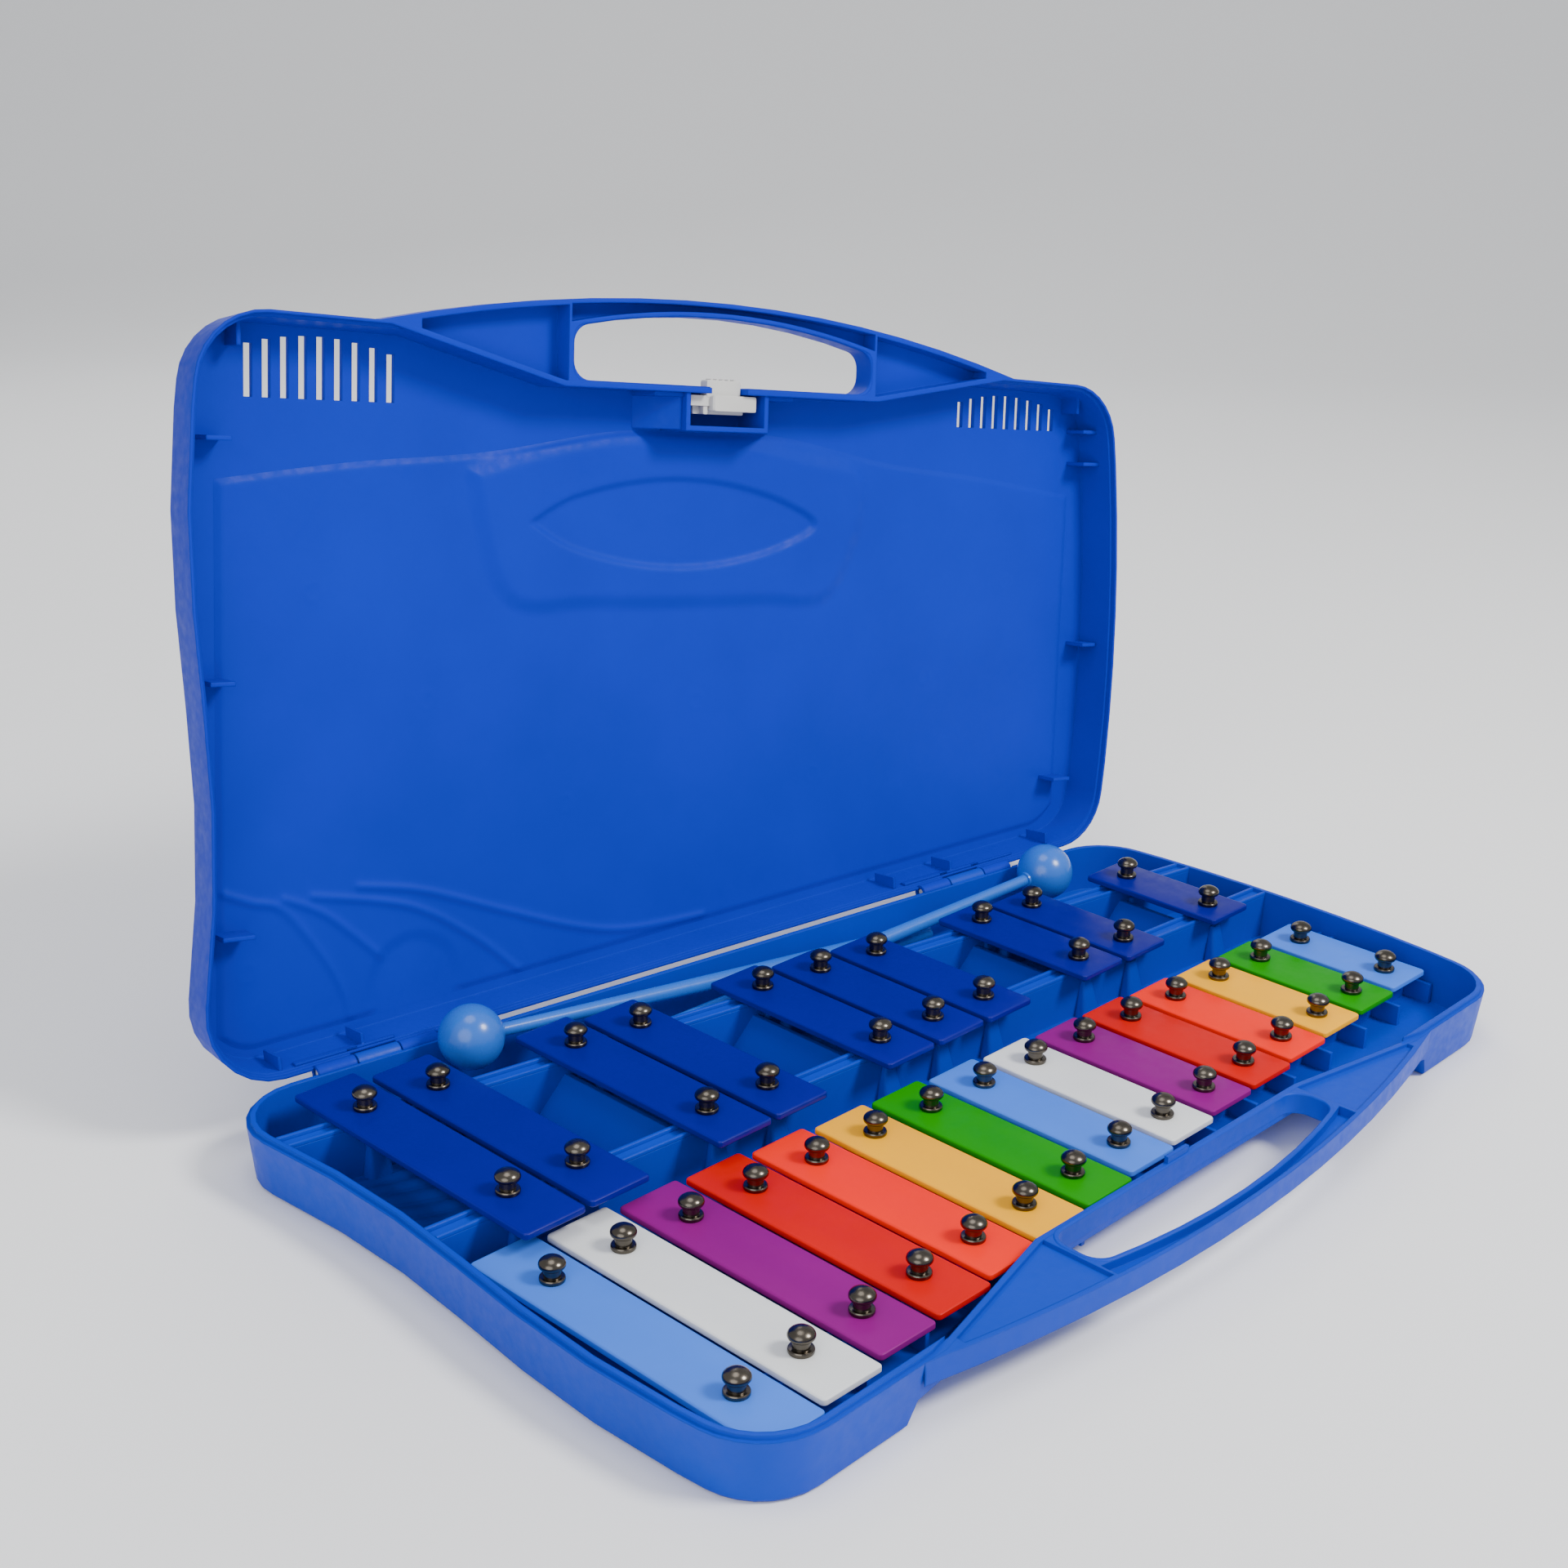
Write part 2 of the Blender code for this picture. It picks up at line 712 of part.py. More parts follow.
def pin(x, y, bar_top):
    """A mushroom-headed pin that rises through a bar from the cushion."""
    low = bar_top - BAR_THICKNESS - REST_GAP - CUSHION_THICKNESS / 2
    levels = (
        (low, PIN_SHANK_R),
        (bar_top + PIN_HEAD_LOW, PIN_SHANK_R),
        (bar_top + PIN_HEAD_LOW + 0.6, PIN_HEAD_R),
        (bar_top + PIN_HEAD_LOW + 2.0, PIN_HEAD_R),
        (bar_top + PIN_HEIGHT, PIN_HEAD_R * 0.55),
    )
    sides = 8
    turns = [2 * math.pi * (i + 0.5) / sides for i in range(sides)]
    return loft("pin", [
        (z, [(x + r * math.cos(a), y + r * math.sin(a)) for a in turns]) for z, r in levels
    ])


def build_cushion(name, row, places, bar_top):
    """A cushion strip on one rail, with the pins that stand in it."""
    xs = [place_x(p) for p in places]
    margin = BAR_WIDTH / 2 - 1.0
    low = bar_top - BAR_THICKNESS - REST_GAP - CUSHION_THICKNESS
    ring = rail_ring(row, CUSHION_WIDTH, xs[0] - margin, xs[-1] + margin)
    strip = prism(name, ring, low, low + CUSHION_THICKNESS, "cushion")
    pins = [pin(x, row[0] + row[1] * x, bar_top) for x in xs]
    join(strip, shells(f"{name}_pins", pins))
    return strip


def groups(sharps):
    """The sharps in their runs of twos and threes."""
    runs = [[sharps[0][1]]]
    for before, after in zip(sharps, sharps[1:]):
        if after[1] - before[1] > 1.5:
            runs.append([])
        runs[-1].append(after[1])
    return runs


def build_notes():
    """All bars, cushions and pins."""
    naturals, sharps = notes()
    sharp_top = NATURAL_TOP + SHARP_LIFT
    for i, (name, place, semitones) in enumerate(naturals):
        colour = NATURAL_COLOURS[i % 7]
        build_bar(name, place, semitones, NATURAL_CENTRE_Y, NATURAL_TOP, NATURAL_PIN_ROWS, colour)
    for name, place, semitones in sharps:
        centre = SHARP_CENTRE_Y + SHARP_SLOPE * place_x(place)
        build_bar(name, place, semitones, centre, sharp_top, SHARP_PIN_ROWS, "sharp_blue")
    for side, row in zip(("rear", "front"), NATURAL_PIN_ROWS):
        build_cushion(f"natural_pins_{side}", row, [n[1] for n in naturals], NATURAL_TOP)
    for side, row in zip(("rear", "front"), SHARP_PIN_ROWS):
        for number, places in enumerate(groups(sharps), 1):
            build_cushion(f"sharp_pins_{side}_{number}", row, places, sharp_top)


def build_rods():
    """The two hinge rods."""
    for side, (low, high) in zip(("left", "right"), ZONES):
        start = along_hinge(low + ROD_SHORT)
        rod = tube_between(f"hinge_rod_{side}", start, along_hinge(high - ROD_SHORT), ROD_R)
        rod.data.materials.append(material("steel"))


def build_mallet(side, head, tail):
    """A beater: a ball with a socket, and a handle that thickens to its rounded end."""
    axis = (tail - head).normalized()
    profile = (
        (HEAD_R - HEAD_SOCKET + REST_GAP, NECK_R),
        (MALLET_LENGTH - TAIL_R, TAIL_R),
        (MALLET_LENGTH - TAIL_R * 0.3, TAIL_R * 0.75),
        (MALLET_LENGTH, TAIL_R * 0.3),
    )
    sides = 10
    turns = [math.tau * i / sides for i in range(sides)]
    handle = loft(f"mallet_{side}_handle", [
        (z, [(r * math.cos(a), r * math.sin(a)) for a in turns]) for z, r in profile
    ], "mallet_blue")
    turn = Vector((0, 0, 1)).rotation_difference(axis)
    ball_mesh = bpy.data.meshes.new(f"mallet_{side}_head")
    form = bmesh.new()
    bmesh.ops.create_uvsphere(form, u_segments=16, v_segments=10, radius=HEAD_R * MM)
    form.to_mesh(ball_mesh)
    form.free()
    ball_mesh.materials.append(material("mallet_blue"))
    ball_mesh.shade_smooth()
    ball = bpy.data.objects.new(f"mallet_{side}_head", ball_mesh)
    bpy.context.scene.collection.objects.link(ball)
    socket = tube_between(
        f"mallet_{side}_socket", (0, 0, HEAD_R - HEAD_SOCKET), (0, 0, 2 * HEAD_R), NECK_R + REST_GAP, 10
    )
    cut(ball, socket)
    for item in (handle, ball, socket):
        item.rotation_mode = "QUATERNION"
        item.rotation_quaternion = turn
        item.location = head * MM


def hinge_empty():
    """The empty on the hinge axis that carries the lid, turned to its open rest pose."""
    pivot = bpy.data.objects.new("lid_hinge", None)
    bpy.context.scene.collection.objects.link(pivot)
    origin = along_hinge(0.0) * MM
    axis = Vector((math.cos(HINGE_TILT), math.sin(HINGE_TILT), 0.0))
    opened = Matrix.Translation(origin) @ Matrix.Rotation(-OPEN_ANGLE, 4, axis)
    pivot.matrix_world = opened
    return pivot, origin


def hang_on_hinge(closed_items):
    """Parent everything modelled closed to the hinge, which opens it."""
    pivot, origin = hinge_empty()
    for item in closed_items:
        item.parent = pivot
        item.location = -origin


def main():
    """Build the whole instrument."""
    clear_scene()
    build_tray()
    before = set(bpy.data.objects)
    build_lid()
    build_slider()
    closed = [item for item in bpy.data.objects if item not in before]
    hang_on_hinge(closed)
    build_rods()
    build_notes()
    build_mallet("left", LEFT_HEAD, LEFT_TAIL)
    build_mallet("right", RIGHT_HEAD, RIGHT_TAIL)


main()
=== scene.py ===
"""Studio scene of a 25-bar glockenspiel in its open carrying case.

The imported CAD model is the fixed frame. Each visual sub-assembly below is a class that
builds its pieces in the row frame, gives them procedural finishes and hangs them on the
CAD body they move with. Lengths in the tables are millimetres. Parts of the lid are
described with the lid shut and turned by the hinge's opening matrix.
"""

from __future__ import annotations

import json
import logging
import math
from dataclasses import dataclass, field
from enum import Enum
from typing import Iterable, Sequence

import bmesh
import bpy
import numpy as np
from mathutils import Matrix, Vector

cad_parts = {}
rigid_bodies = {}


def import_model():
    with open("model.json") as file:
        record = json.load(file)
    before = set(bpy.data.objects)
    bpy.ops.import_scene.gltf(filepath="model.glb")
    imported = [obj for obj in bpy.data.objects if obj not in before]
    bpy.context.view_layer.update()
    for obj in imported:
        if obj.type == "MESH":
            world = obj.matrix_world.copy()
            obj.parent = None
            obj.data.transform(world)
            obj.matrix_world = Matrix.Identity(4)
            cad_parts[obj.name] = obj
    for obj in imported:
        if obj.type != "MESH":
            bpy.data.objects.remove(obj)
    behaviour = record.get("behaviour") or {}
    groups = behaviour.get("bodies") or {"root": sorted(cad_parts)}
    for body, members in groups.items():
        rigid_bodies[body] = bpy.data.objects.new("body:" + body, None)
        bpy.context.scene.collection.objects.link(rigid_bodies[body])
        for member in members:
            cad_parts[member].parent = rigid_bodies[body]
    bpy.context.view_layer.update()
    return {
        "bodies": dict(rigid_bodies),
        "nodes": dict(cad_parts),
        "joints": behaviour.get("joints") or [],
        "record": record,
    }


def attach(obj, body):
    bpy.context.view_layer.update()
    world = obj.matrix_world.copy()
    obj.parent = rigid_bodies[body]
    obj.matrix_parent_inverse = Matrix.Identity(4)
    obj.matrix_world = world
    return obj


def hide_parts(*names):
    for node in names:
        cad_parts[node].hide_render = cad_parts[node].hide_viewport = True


LOG = logging.getLogger("glockenspiel")

MM = 0.001
SEED = 7

Point2 = tuple[float, float]
Ring = list[Point2]
Outline = tuple[Point2, ...]
UP = Vector((0, 0, 1))

# ---- case ----
RIM = 21.0
FLOOR = 2.5
SEAT = RIM + 0.3
ROOF_INNER = 39.5
ROOF_OUTER = 41.5
HINGE_Y = 174.4
HINGE_TILT = math.radians(-7.7)
OPEN_ANGLE = math.radians(99.1)
FRONT_Y = -60.1
FRONT_SLOPE = 0.0227
CREASE = math.radians(32)

# ---- grip and its finger opening ----
GRIP_SAG = 17.9
GRIP_HALF = 148.5
GRIP_WALL = 1.7
HOLE_HALF = 70.1
HOLE_FRONT_Y = FRONT_Y - 12.1
HOLE_BACK_Y = FRONT_Y + 13.3
HOLE_SAG = 8.0
HOLE_RADIUS = 7.0
COLLAR_WALL = 1.9
GROOVE_HALF = 71.5

# ---- bars and pins ----
PITCH = 27.5
BAR_WIDTH = 25.0
BAR_THICKNESS = 2.5
LONGEST_BAR = 126.6
NATURALS = 15
OCTAVE = (0, 2, 4, 5, 7, 9, 10)
NATURAL_TOP = RIM - 4.25
SHARP_TOP = RIM + 4.35
NATURAL_CENTRE_Y = FRONT_Y + 68.1
SHARP_CENTRE_Y = HINGE_Y - 71.1
SHARP_SLOPE = -0.105
NATURAL_ROWS = {
    "rear": (NATURAL_CENTRE_Y + 28.75, -0.0512),
    "front": (NATURAL_CENTRE_Y - 30.2, 0.0527),
}
SHARP_ROWS = {
    "rear": (SHARP_CENTRE_Y + 29.1, -0.1525),
    "front": (SHARP_CENTRE_Y - 29.35, -0.0573),
}
RAIL_WIDTH = 7.5

# ---- mallets: the middle of the ball, and a point on the handle ----
MALLETS = (
    (Vector((-122.0, HINGE_Y - 0.2, RIM + 6.0)), Vector((105.0, HINGE_Y - 27.9, RIM - 12.0))),
    (Vector((160.0, HINGE_Y - 39.6, RIM + 2.5)), Vector((-59.0, HINGE_Y - 17.8, RIM - 12.0))),
)

# ---- camera ----
CAMERA_PLACE = Vector((-566.3, -402.1, 392.5))
CAMERA_FORWARD = Vector((0.6781, 0.6480, -0.3470))
CAMERA_ROLL = math.radians(1.4)
CAMERA_LENS = 51.4


class Body(str, Enum):
    """CAD bodies that pieces move with."""

    TRAY = "tray"
    LID = "lid"
    LATCH = "latch"
    MALLET_LEFT = "mallet_left"
    MALLET_RIGHT = "mallet_right"


class Slot(str, Enum):
    """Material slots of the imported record."""

    CASE = "case_blue"
    MALLET = "mallet_blue"
    DEEP_BLUE = "bar_deep_blue"
    LIGHT_BLUE = "bar_light_blue"
    WHITE = "bar_white"
    PURPLE = "bar_purple"
    RED = "bar_red"
    ORANGE = "bar_orange"
    YELLOW = "bar_yellow"
    GREEN = "bar_green"
    PIN = "pin_steel"
    STEEL = "steel"
    LATCH = "latch_grey"


NATURAL_SLOTS = (
    Slot.LIGHT_BLUE, Slot.WHITE, Slot.PURPLE, Slot.RED, Slot.ORANGE, Slot.YELLOW, Slot.GREEN,
)


def srgb(red: int, green: int, blue: int) -> tuple[float, float, float, float]:
    """Turn display values into the linear colour that shaders use.

    Args:
        red: Red, 0 to 255.
        green: Green, 0 to 255.
        blue: Blue, 0 to 255.

    Returns:
        Linear red, green, blue and an alpha of one.
    """
    linear = []
    for value in (red, green, blue):
        share = value / 255
        linear.append(share / 12.92 if share <= 0.04045 else ((share + 0.055) / 1.055) ** 2.4)
    return (linear[0], linear[1], linear[2], 1.0)


@dataclass(frozen=True)
class Finish:
    """How a surface looks: colour, gloss, grain and the softness of its edges."""

    name: str
    colour: tuple[float, float, float, float]
    roughness: float = 0.4
    metallic: float = 0.0
    mottle: float = 0.05
    grain: float = 0.05
    grain_scale: float = 1500.0
    coat: float = 0.0
    edge: float = 0.0
    specular: float = 0.4


def enamel(
    name: str, red: int, green: int, blue: int, specular: float = 0.12, roughness: float = 0.4,
) -> Finish:
    """Return the smooth enamel of a bar.

    Args:
        name: The colour's name.
        red: Red, 0 to 255.
        green: Green, 0 to 255.
        blue: Blue, 0 to 255.
        specular: Strength of the highlight.
        roughness: Its spread.

    Returns:
        The finish.
    """
    colour = srgb(red, green, blue)
    return Finish(f"enamel_{name}", colour, roughness, grain=0.02, specular=specular, edge=0.2)


FINISHES: dict[str, Finish] = {
    "case": Finish("moulded_blue", srgb(0, 56, 182), 0.45, grain=0.06, edge=0.7, specular=0.22),
    # The lid is the same blue plastic as the case; its darker base colour is painted shade standing in
    # for the lesser light on the lid's inside.
    "lid": Finish("moulded_blue_lid_painted_shade", srgb(0, 40, 176), 0.5, grain=0.07, edge=0.9, specular=0.14),
    "mallet": Finish("mallet_plastic", srgb(36, 104, 204), 0.26, grain=0.012, coat=0.3, edge=0.3),
    Slot.DEEP_BLUE.value: enamel("deep_blue", 0, 0, 128, 0.25, 0.36),
    Slot.LIGHT_BLUE.value: enamel("light_blue", 62, 122, 232, 0.2),
    Slot.WHITE.value: enamel("white", 222, 224, 224, 0.25),
    Slot.PURPLE.value: enamel("purple", 130, 0, 116, 0.14),
    Slot.RED.value: enamel("red", 206, 0, 0),
    Slot.ORANGE.value: enamel("orange", 255, 26, 0),
    Slot.YELLOW.value: enamel("yellow", 255, 178, 0),
    Slot.GREEN.value: enamel("green", 0, 140, 0),
    "pin": Finish("gunmetal", srgb(92, 86, 78), 0.24, 1.0, mottle=0.2, grain=0.01, edge=0.1),
    "seat": Finish("rubber_white", srgb(205, 208, 205), 0.8, grain=0.3, grain_scale=900.0),
    "rod": Finish("drawn_wire", srgb(180, 182, 186), 0.28, 1.0, grain=0.05),
    "latch": Finish("latch_grey", srgb(205, 204, 200), 0.45, grain=0.05, edge=0.3),
}


@dataclass
class Palette:
    """Builds each finish once, as a procedural material on object coordinates."""

    cloud_scale: float = 22.0
    speck_scale: float = 260.0
    coat_roughness: float = 0.18
    grain_depth: float = 0.3
    made: dict[str, bpy.types.Material] = field(default_factory=dict)

    def get(self, key: str) -> bpy.types.Material:
        """Return the material of a finish.

        Args:
            key: The finish's key in FINISHES.

        Returns:
            The Blender material.
        """
        if key not in self.made:
            self.made[key] = self._build(FINISHES[key])
        return self.made[key]

    def _build(self, finish: Finish) -> bpy.types.Material:
        """Make the node tree of one finish.

        Args:
            finish: The finish.

        Returns:
            Its material.
        """
        made = bpy.data.materials.new(finish.name)
        made.use_nodes = True
        tree = made.node_tree
        shader = tree.nodes["Principled BSDF"]
        coords = tree.nodes.new("ShaderNodeTexCoord").outputs["Object"]
        cloud = self._noise(tree, coords, self.cloud_scale, 4.0)
        speck = self._noise(tree, coords, self.speck_scale, 6.0)
        grain = self._noise(tree, coords, finish.grain_scale, 3.0)
        shader.inputs["Metallic"].default_value = finish.metallic
        shader.inputs["Coat Weight"].default_value = finish.coat
        shader.inputs["Coat Roughness"].default_value = self.coat_roughness
        shader.inputs["Specular IOR Level"].default_value = finish.specular
        tree.links.new(self._tint(tree, finish, cloud), shader.inputs["Base Color"])
        gloss = self._range(tree, speck, finish.roughness * 0.85, finish.roughness * 1.2)
        tree.links.new(gloss, shader.inputs["Roughness"])
        tree.links.new(self._normal(tree, finish, grain), shader.inputs["Normal"])
        return made

    @staticmethod
    def _noise(
        tree: bpy.types.NodeTree, coords: bpy.types.NodeSocket, scale: float, detail: float,
    ) -> bpy.types.NodeSocket:
        """Add a noise texture.

        Args:
            tree: The material's tree.
            coords: Object coordinates.
            scale: Waves in a metre.
            detail: Number of finer layers.

        Returns:
            The noise value.
        """
        noise = tree.nodes.new("ShaderNodeTexNoise")
        noise.inputs["Scale"].default_value = scale
        noise.inputs["Detail"].default_value = detail
        tree.links.new(coords, noise.inputs["Vector"])
        return noise.outputs["Fac"]

    @staticmethod
    def _range(
        tree: bpy.types.NodeTree, value: bpy.types.NodeSocket, low: float, high: float,
    ) -> bpy.types.NodeSocket:
        """Map a noise value from its usual span to a range.

        Args:
            tree: The material's tree.
            value: The noise value.
            low: Start of the range.
            high: End of the range.

        Returns:
            The mapped value.
        """
        spread = tree.nodes.new("ShaderNodeMapRange")
        spread.inputs["From Min"].default_value = 0.3
        spread.inputs["From Max"].default_value = 0.7
        spread.inputs["To Min"].default_value = low
        spread.inputs["To Max"].default_value = high
        tree.links.new(value, spread.inputs["Value"])
        return spread.outputs["Result"]

    def _tint(
        self, tree: bpy.types.NodeTree, finish: Finish, cloud: bpy.types.NodeSocket,
    ) -> bpy.types.NodeSocket:
        """Vary the colour a little from place to place.

        Args:
            tree: The material's tree.
            finish: The finish.
            cloud: The noise that the colour follows.

        Returns:
            The colour.
        """
        tint = tree.nodes.new("ShaderNodeHueSaturation")
        tint.inputs["Color"].default_value = finish.colour
        swing = self._range(tree, cloud, 1.0 - finish.mottle, 1.0 + finish.mottle)
        tree.links.new(swing, tint.inputs["Value"])
        return tint.outputs["Color"]

    def _normal(
        self, tree: bpy.types.NodeTree, finish: Finish, grain: bpy.types.NodeSocket,
    ) -> bpy.types.NodeSocket:
        """Soften the edges and add the grain.

        Args:
            tree: The material's tree.
            finish: The finish.
            grain: The noise that the grain follows.

        Returns:
            The normal.
        """
        bump = tree.nodes.new("ShaderNodeBump")
        bump.inputs["Strength"].default_value = finish.grain
        bump.inputs["Distance"].default_value = self.grain_depth * MM
        tree.links.new(grain, bump.inputs["Height"])
        if finish.edge:
            soft = tree.nodes.new("ShaderNodeBevel")
            soft.samples = 4
            soft.inputs["Radius"].default_value = finish.edge * MM
            tree.links.new(soft.outputs["Normal"], bump.inputs["Normal"])
        return bump.outputs["Normal"]


def opening() -> Matrix:
    """Return the matrix that swings the shut lid to its open rest place, in metres."""
    pivot = Vector((0.0, HINGE_Y, RIM)) * MM
    axis = Vector((math.cos(HINGE_TILT), math.sin(HINGE_TILT), 0.0))
    turn = Matrix.Rotation(-OPEN_ANGLE, 4, axis)
    return Matrix.Translation(pivot) @ turn @ Matrix.Translation(-pivot)


def front_y(x: float) -> float:
    """Return the front edge of the case at a place across it."""
    return FRONT_Y + FRONT_SLOPE * x


def hinge_y(x: float | np.ndarray) -> float | np.ndarray:
    """Return the hinge line at a place, or at many places, across the case."""
    return HINGE_Y + math.tan(HINGE_TILT) * x


def left_x(y: float) -> float:
    """Return the left side of the case at a distance back."""
    return -(213.8 + 4.0 * math.cos(math.pi * (y - 2.0) / 118.0))


def right_x(y: float) -> float:
    """Return the right side of the case at a distance back."""
    return 217.5 - (y - 59.0) ** 2 / 1323.0


def row_y(row: tuple[float, float], x: float) -> float:
    """Return where a slanting row of pins lies at a place across the case."""
    return row[0] + row[1] * x


@dataclass
class Sketch:
    """Collects shells in millimetres and turns them into one mesh object."""

    points: list[Vector] = field(default_factory=list)
    faces: list[list[int]] = field(default_factory=list)

    def loft(self, levels: Sequence[tuple[float, Ring]]) -> "Sketch":
        """Add a closed skin through rings of equal count.

        Args:
            levels: Pairs of height and ring, from the bottom up.

        Returns:
            This sketch.
        """
        start = len(self.points)
        count = len(levels[0][1])
        self.points += [Vector((x, y, z)) for z, ring in levels for x, y in ring]
        self.faces.append([start + i for i in range(count)][::-1])
        last = start + (len(levels) - 1) * count
        self.faces.append([last + i for i in range(count)])
        for level in range(len(levels) - 1):
            base = start + level * count
            for i in range(count):
                j = (i + 1) % count
                self.faces.append([base + i, base + j, base + count + j, base + count + i])
        return self

    def slab(self, ring: Ring, low: float, high: float, soft: float = 0.3) -> "Sketch":
        """Add an upright plate whose top edge is rounded.

        Args:
            ring: The outline, anticlockwise.
            low: Height of the underside.
            high: Height of the top.
            soft: Radius of the top edge.

        Returns:
            This sketch.
        """
        return self.loft([
            (low, ring),
            (high - soft, ring),
            (high - 0.3 * soft, inset(ring, 0.3 * soft)),
            (high, inset(ring, soft)),
        ])

    def revolve(
        self, profile: Sequence[tuple[float, float]], base: Vector, axis: Vector, sides: int = 32,
    ) -> "Sketch":
        """Add a turned solid.

        Args:
            profile: Pairs of distance along the axis and radius.
            base: Where the axis starts.
            axis: The axis direction.
            sides: Number of facets round it.

        Returns:
            This sketch.
        """
        start = len(self.points)
        turn = UP.rotation_difference(axis.normalized()).to_matrix()
        for along, radius in profile:
            for i in range(sides):
                angle = math.tau * i / sides
                spoke = Vector((radius * math.cos(angle), radius * math.sin(angle), along))
                self.points.append(base + turn @ spoke)
        self.faces.append([start + i for i in range(sides)][::-1])
        last = start + (len(profile) - 1) * sides
        self.faces.append([last + i for i in range(sides)])
        for level in range(len(profile) - 1):
            here = start + level * sides
            for i in range(sides):
                j = (i + 1) % sides
                self.faces.append([here + i, here + j, here + sides + j, here + sides + i])
        return self

    def collar(self, outer: Ring, inner: Ring, low: float, high: float, soft: float = 0.4) -> "Sketch":
        """Add an upstanding rim of even thickness with rounded edges.

        Args:
            outer: Its outer outline, anticlockwise.
            inner: Its inner outline, point for point.
            low: Height of its lower edge.
            high: Height of its upper edge.
            soft: Radius of its edges.

        Returns:
            This sketch.
        """
        start = len(self.points)
        count = len(outer)
        tight, wide = inset(outer, soft), inset(inner, -soft)
        loops = (
            (outer, low + soft), (outer, high - soft), (tight, high),
            (wide, high), (inner, high - soft), (inner, low + soft), (wide, low), (tight, low),
        )
        for ring, z in loops:
            self.points += [Vector((x, y, z)) for x, y in ring]
        for level in range(len(loops)):
            here = start + level * count
            there = start + (level + 1) % len(loops) * count
            for i in range(count):
                j = (i + 1) % count
                self.faces.append([here + i, here + j, there + j, there + i])
        return self

    def sheet(self, grid: np.ndarray) -> "Sketch":
        """Add an open surface.

        Args:
            grid: Its points, an array of rows by columns by three.

        Returns:
            This sketch.
        """
        start = len(self.points)
        rows, columns, _ = grid.shape
        self.points += [Vector(p) for p in grid.reshape(-1, 3)]
        for r in range(rows - 1):
            for c in range(columns - 1):
                a = start + r * columns + c
                self.faces.append([a, a + 1, a + columns + 1, a + columns])
        return self

    def build(
        self,
        name: str,
        finish: bpy.types.Material,
        place: Matrix | None = None,
        smooth: float = 35.0,
    ) -> bpy.types.Object:
        """Make the mesh object.

        Args:
            name: The object's name.
            finish: Its material.
            place: A matrix in metres that the points are moved by.
            smooth: Edges sharper than this many degrees stay sharp.

        Returns:
            The new object, with its place in its mesh.
        """
        mesh = bpy.data.meshes.new(name)
        mesh.from_pydata([p * MM for p in self.points], [], self.faces)
        if place is not None:
            mesh.transform(place)
        form = bmesh.new()
        form.from_mesh(mesh)
        bmesh.ops.recalc_face_normals(form, faces=form.faces)
        form.to_mesh(mesh)
        form.free()
        mesh.materials.append(finish)
        mesh.shade_smooth()
        mesh.set_sharp_from_angle(angle=math.radians(smooth))
        made = bpy.data.objects.new(name, mesh)
        bpy.context.scene.collection.objects.link(made)
        return made


def inset(ring: Ring, distance: float) -> Ring:
    """Move an anticlockwise outline inwards.

    Args:
        ring: The outline.
        distance: How far, or outwards if negative.

    Returns:
        The moved outline.
    """
    moved = []
    for i, point in enumerate(ring):
        here = Vector(point)
        before = (here - Vector(ring[i - 1])).normalized()
        after = (Vector(ring[(i + 1) % len(ring)]) - here).normalized()
        first = Vector((-before.y, before.x))
        second = Vector((-after.y, after.x))
        moved.append(tuple(here + (first + second) * (distance / (1 + first.dot(second)))))
    return moved


def box_ring(
    x0: float, x1: float, y0: float, y1: float, radius: float = 0.0, steps: int = 5,
) -> Ring:
    """Draw a rectangle with rounded corners.

    Args:
        x0: Its left side.
        x1: Its right side.
        y0: Its front.
        y1: Its rear.
        radius: Radius of the corners.
        steps: Facets in each corner.

    Returns:
        The outline, anticlockwise.
    """
    if radius <= 0:
        return [(x0, y0), (x1, y0), (x1, y1), (x0, y1)]
    ring: Ring = []
    centres = ((x0, y0, 180), (x1, y0, 270), (x1, y1, 0), (x0, y1, 90))
    for cx, cy, begin in centres:
        ox = cx + radius if cx == x0 else cx - radius
        oy = cy + radius if cy == y0 else cy - radius
        for k in range(steps + 1):
            angle = math.radians(begin + 90 * k / steps)
            ring.append((ox + radius * math.cos(angle), oy + radius * math.sin(angle)))
    return ring


def hole_front(x: float) -> float:
    """Return the front edge of the finger opening at a place across it."""
    return HOLE_FRONT_Y + HOLE_SAG * (x / HOLE_HALF) ** 2 + FRONT_SLOPE * x


def hole_outline(outset: float, spans: int = 8, steps: int = 7) -> Ring:
    """Draw the finger opening with its rounded corners.

    Args:
        outset: How far the outline is moved outwards.
        spans: Facets along the bowed front.
        steps: Facets in each corner.

    Returns:
        The outline, anticlockwise.
    """
    half = HOLE_HALF
    stations = [-half + 2 * half * i / spans for i in range(spans + 1)]
    front = [(x, hole_front(x)) for x in stations]
    corners = inset(front + [(half, HOLE_BACK_Y), (-half, HOLE_BACK_Y)], -outset)
    ring: Ring = []
    radius = HOLE_RADIUS + outset
    for i, point in enumerate(corners):
        if 0 < i < spans:
            ring.append(point)
            continue
        here = Vector(point)
        before = (Vector(corners[i - 1]) - here).normalized()
        after = (Vector(corners[(i + 1) % len(corners)]) - here).normalized()
        reach = radius / math.tan(before.angle(after) / 2)
        centre = here + (before + after).normalized() * (radius / math.sin(before.angle(after) / 2))
        first = here + before * reach - centre
        turn = math.pi - before.angle(after)
        for k in range(steps + 1):
            spoke = Matrix.Rotation(turn * k / steps, 2) @ first
            ring.append(tuple(centre + spoke))
    return ring


def grip_arc(x: float) -> float:
    """Return the outer edge of the grip at a place across it."""
    return front_y(x) - GRIP_SAG * (1 - (x / GRIP_HALF) ** 2)


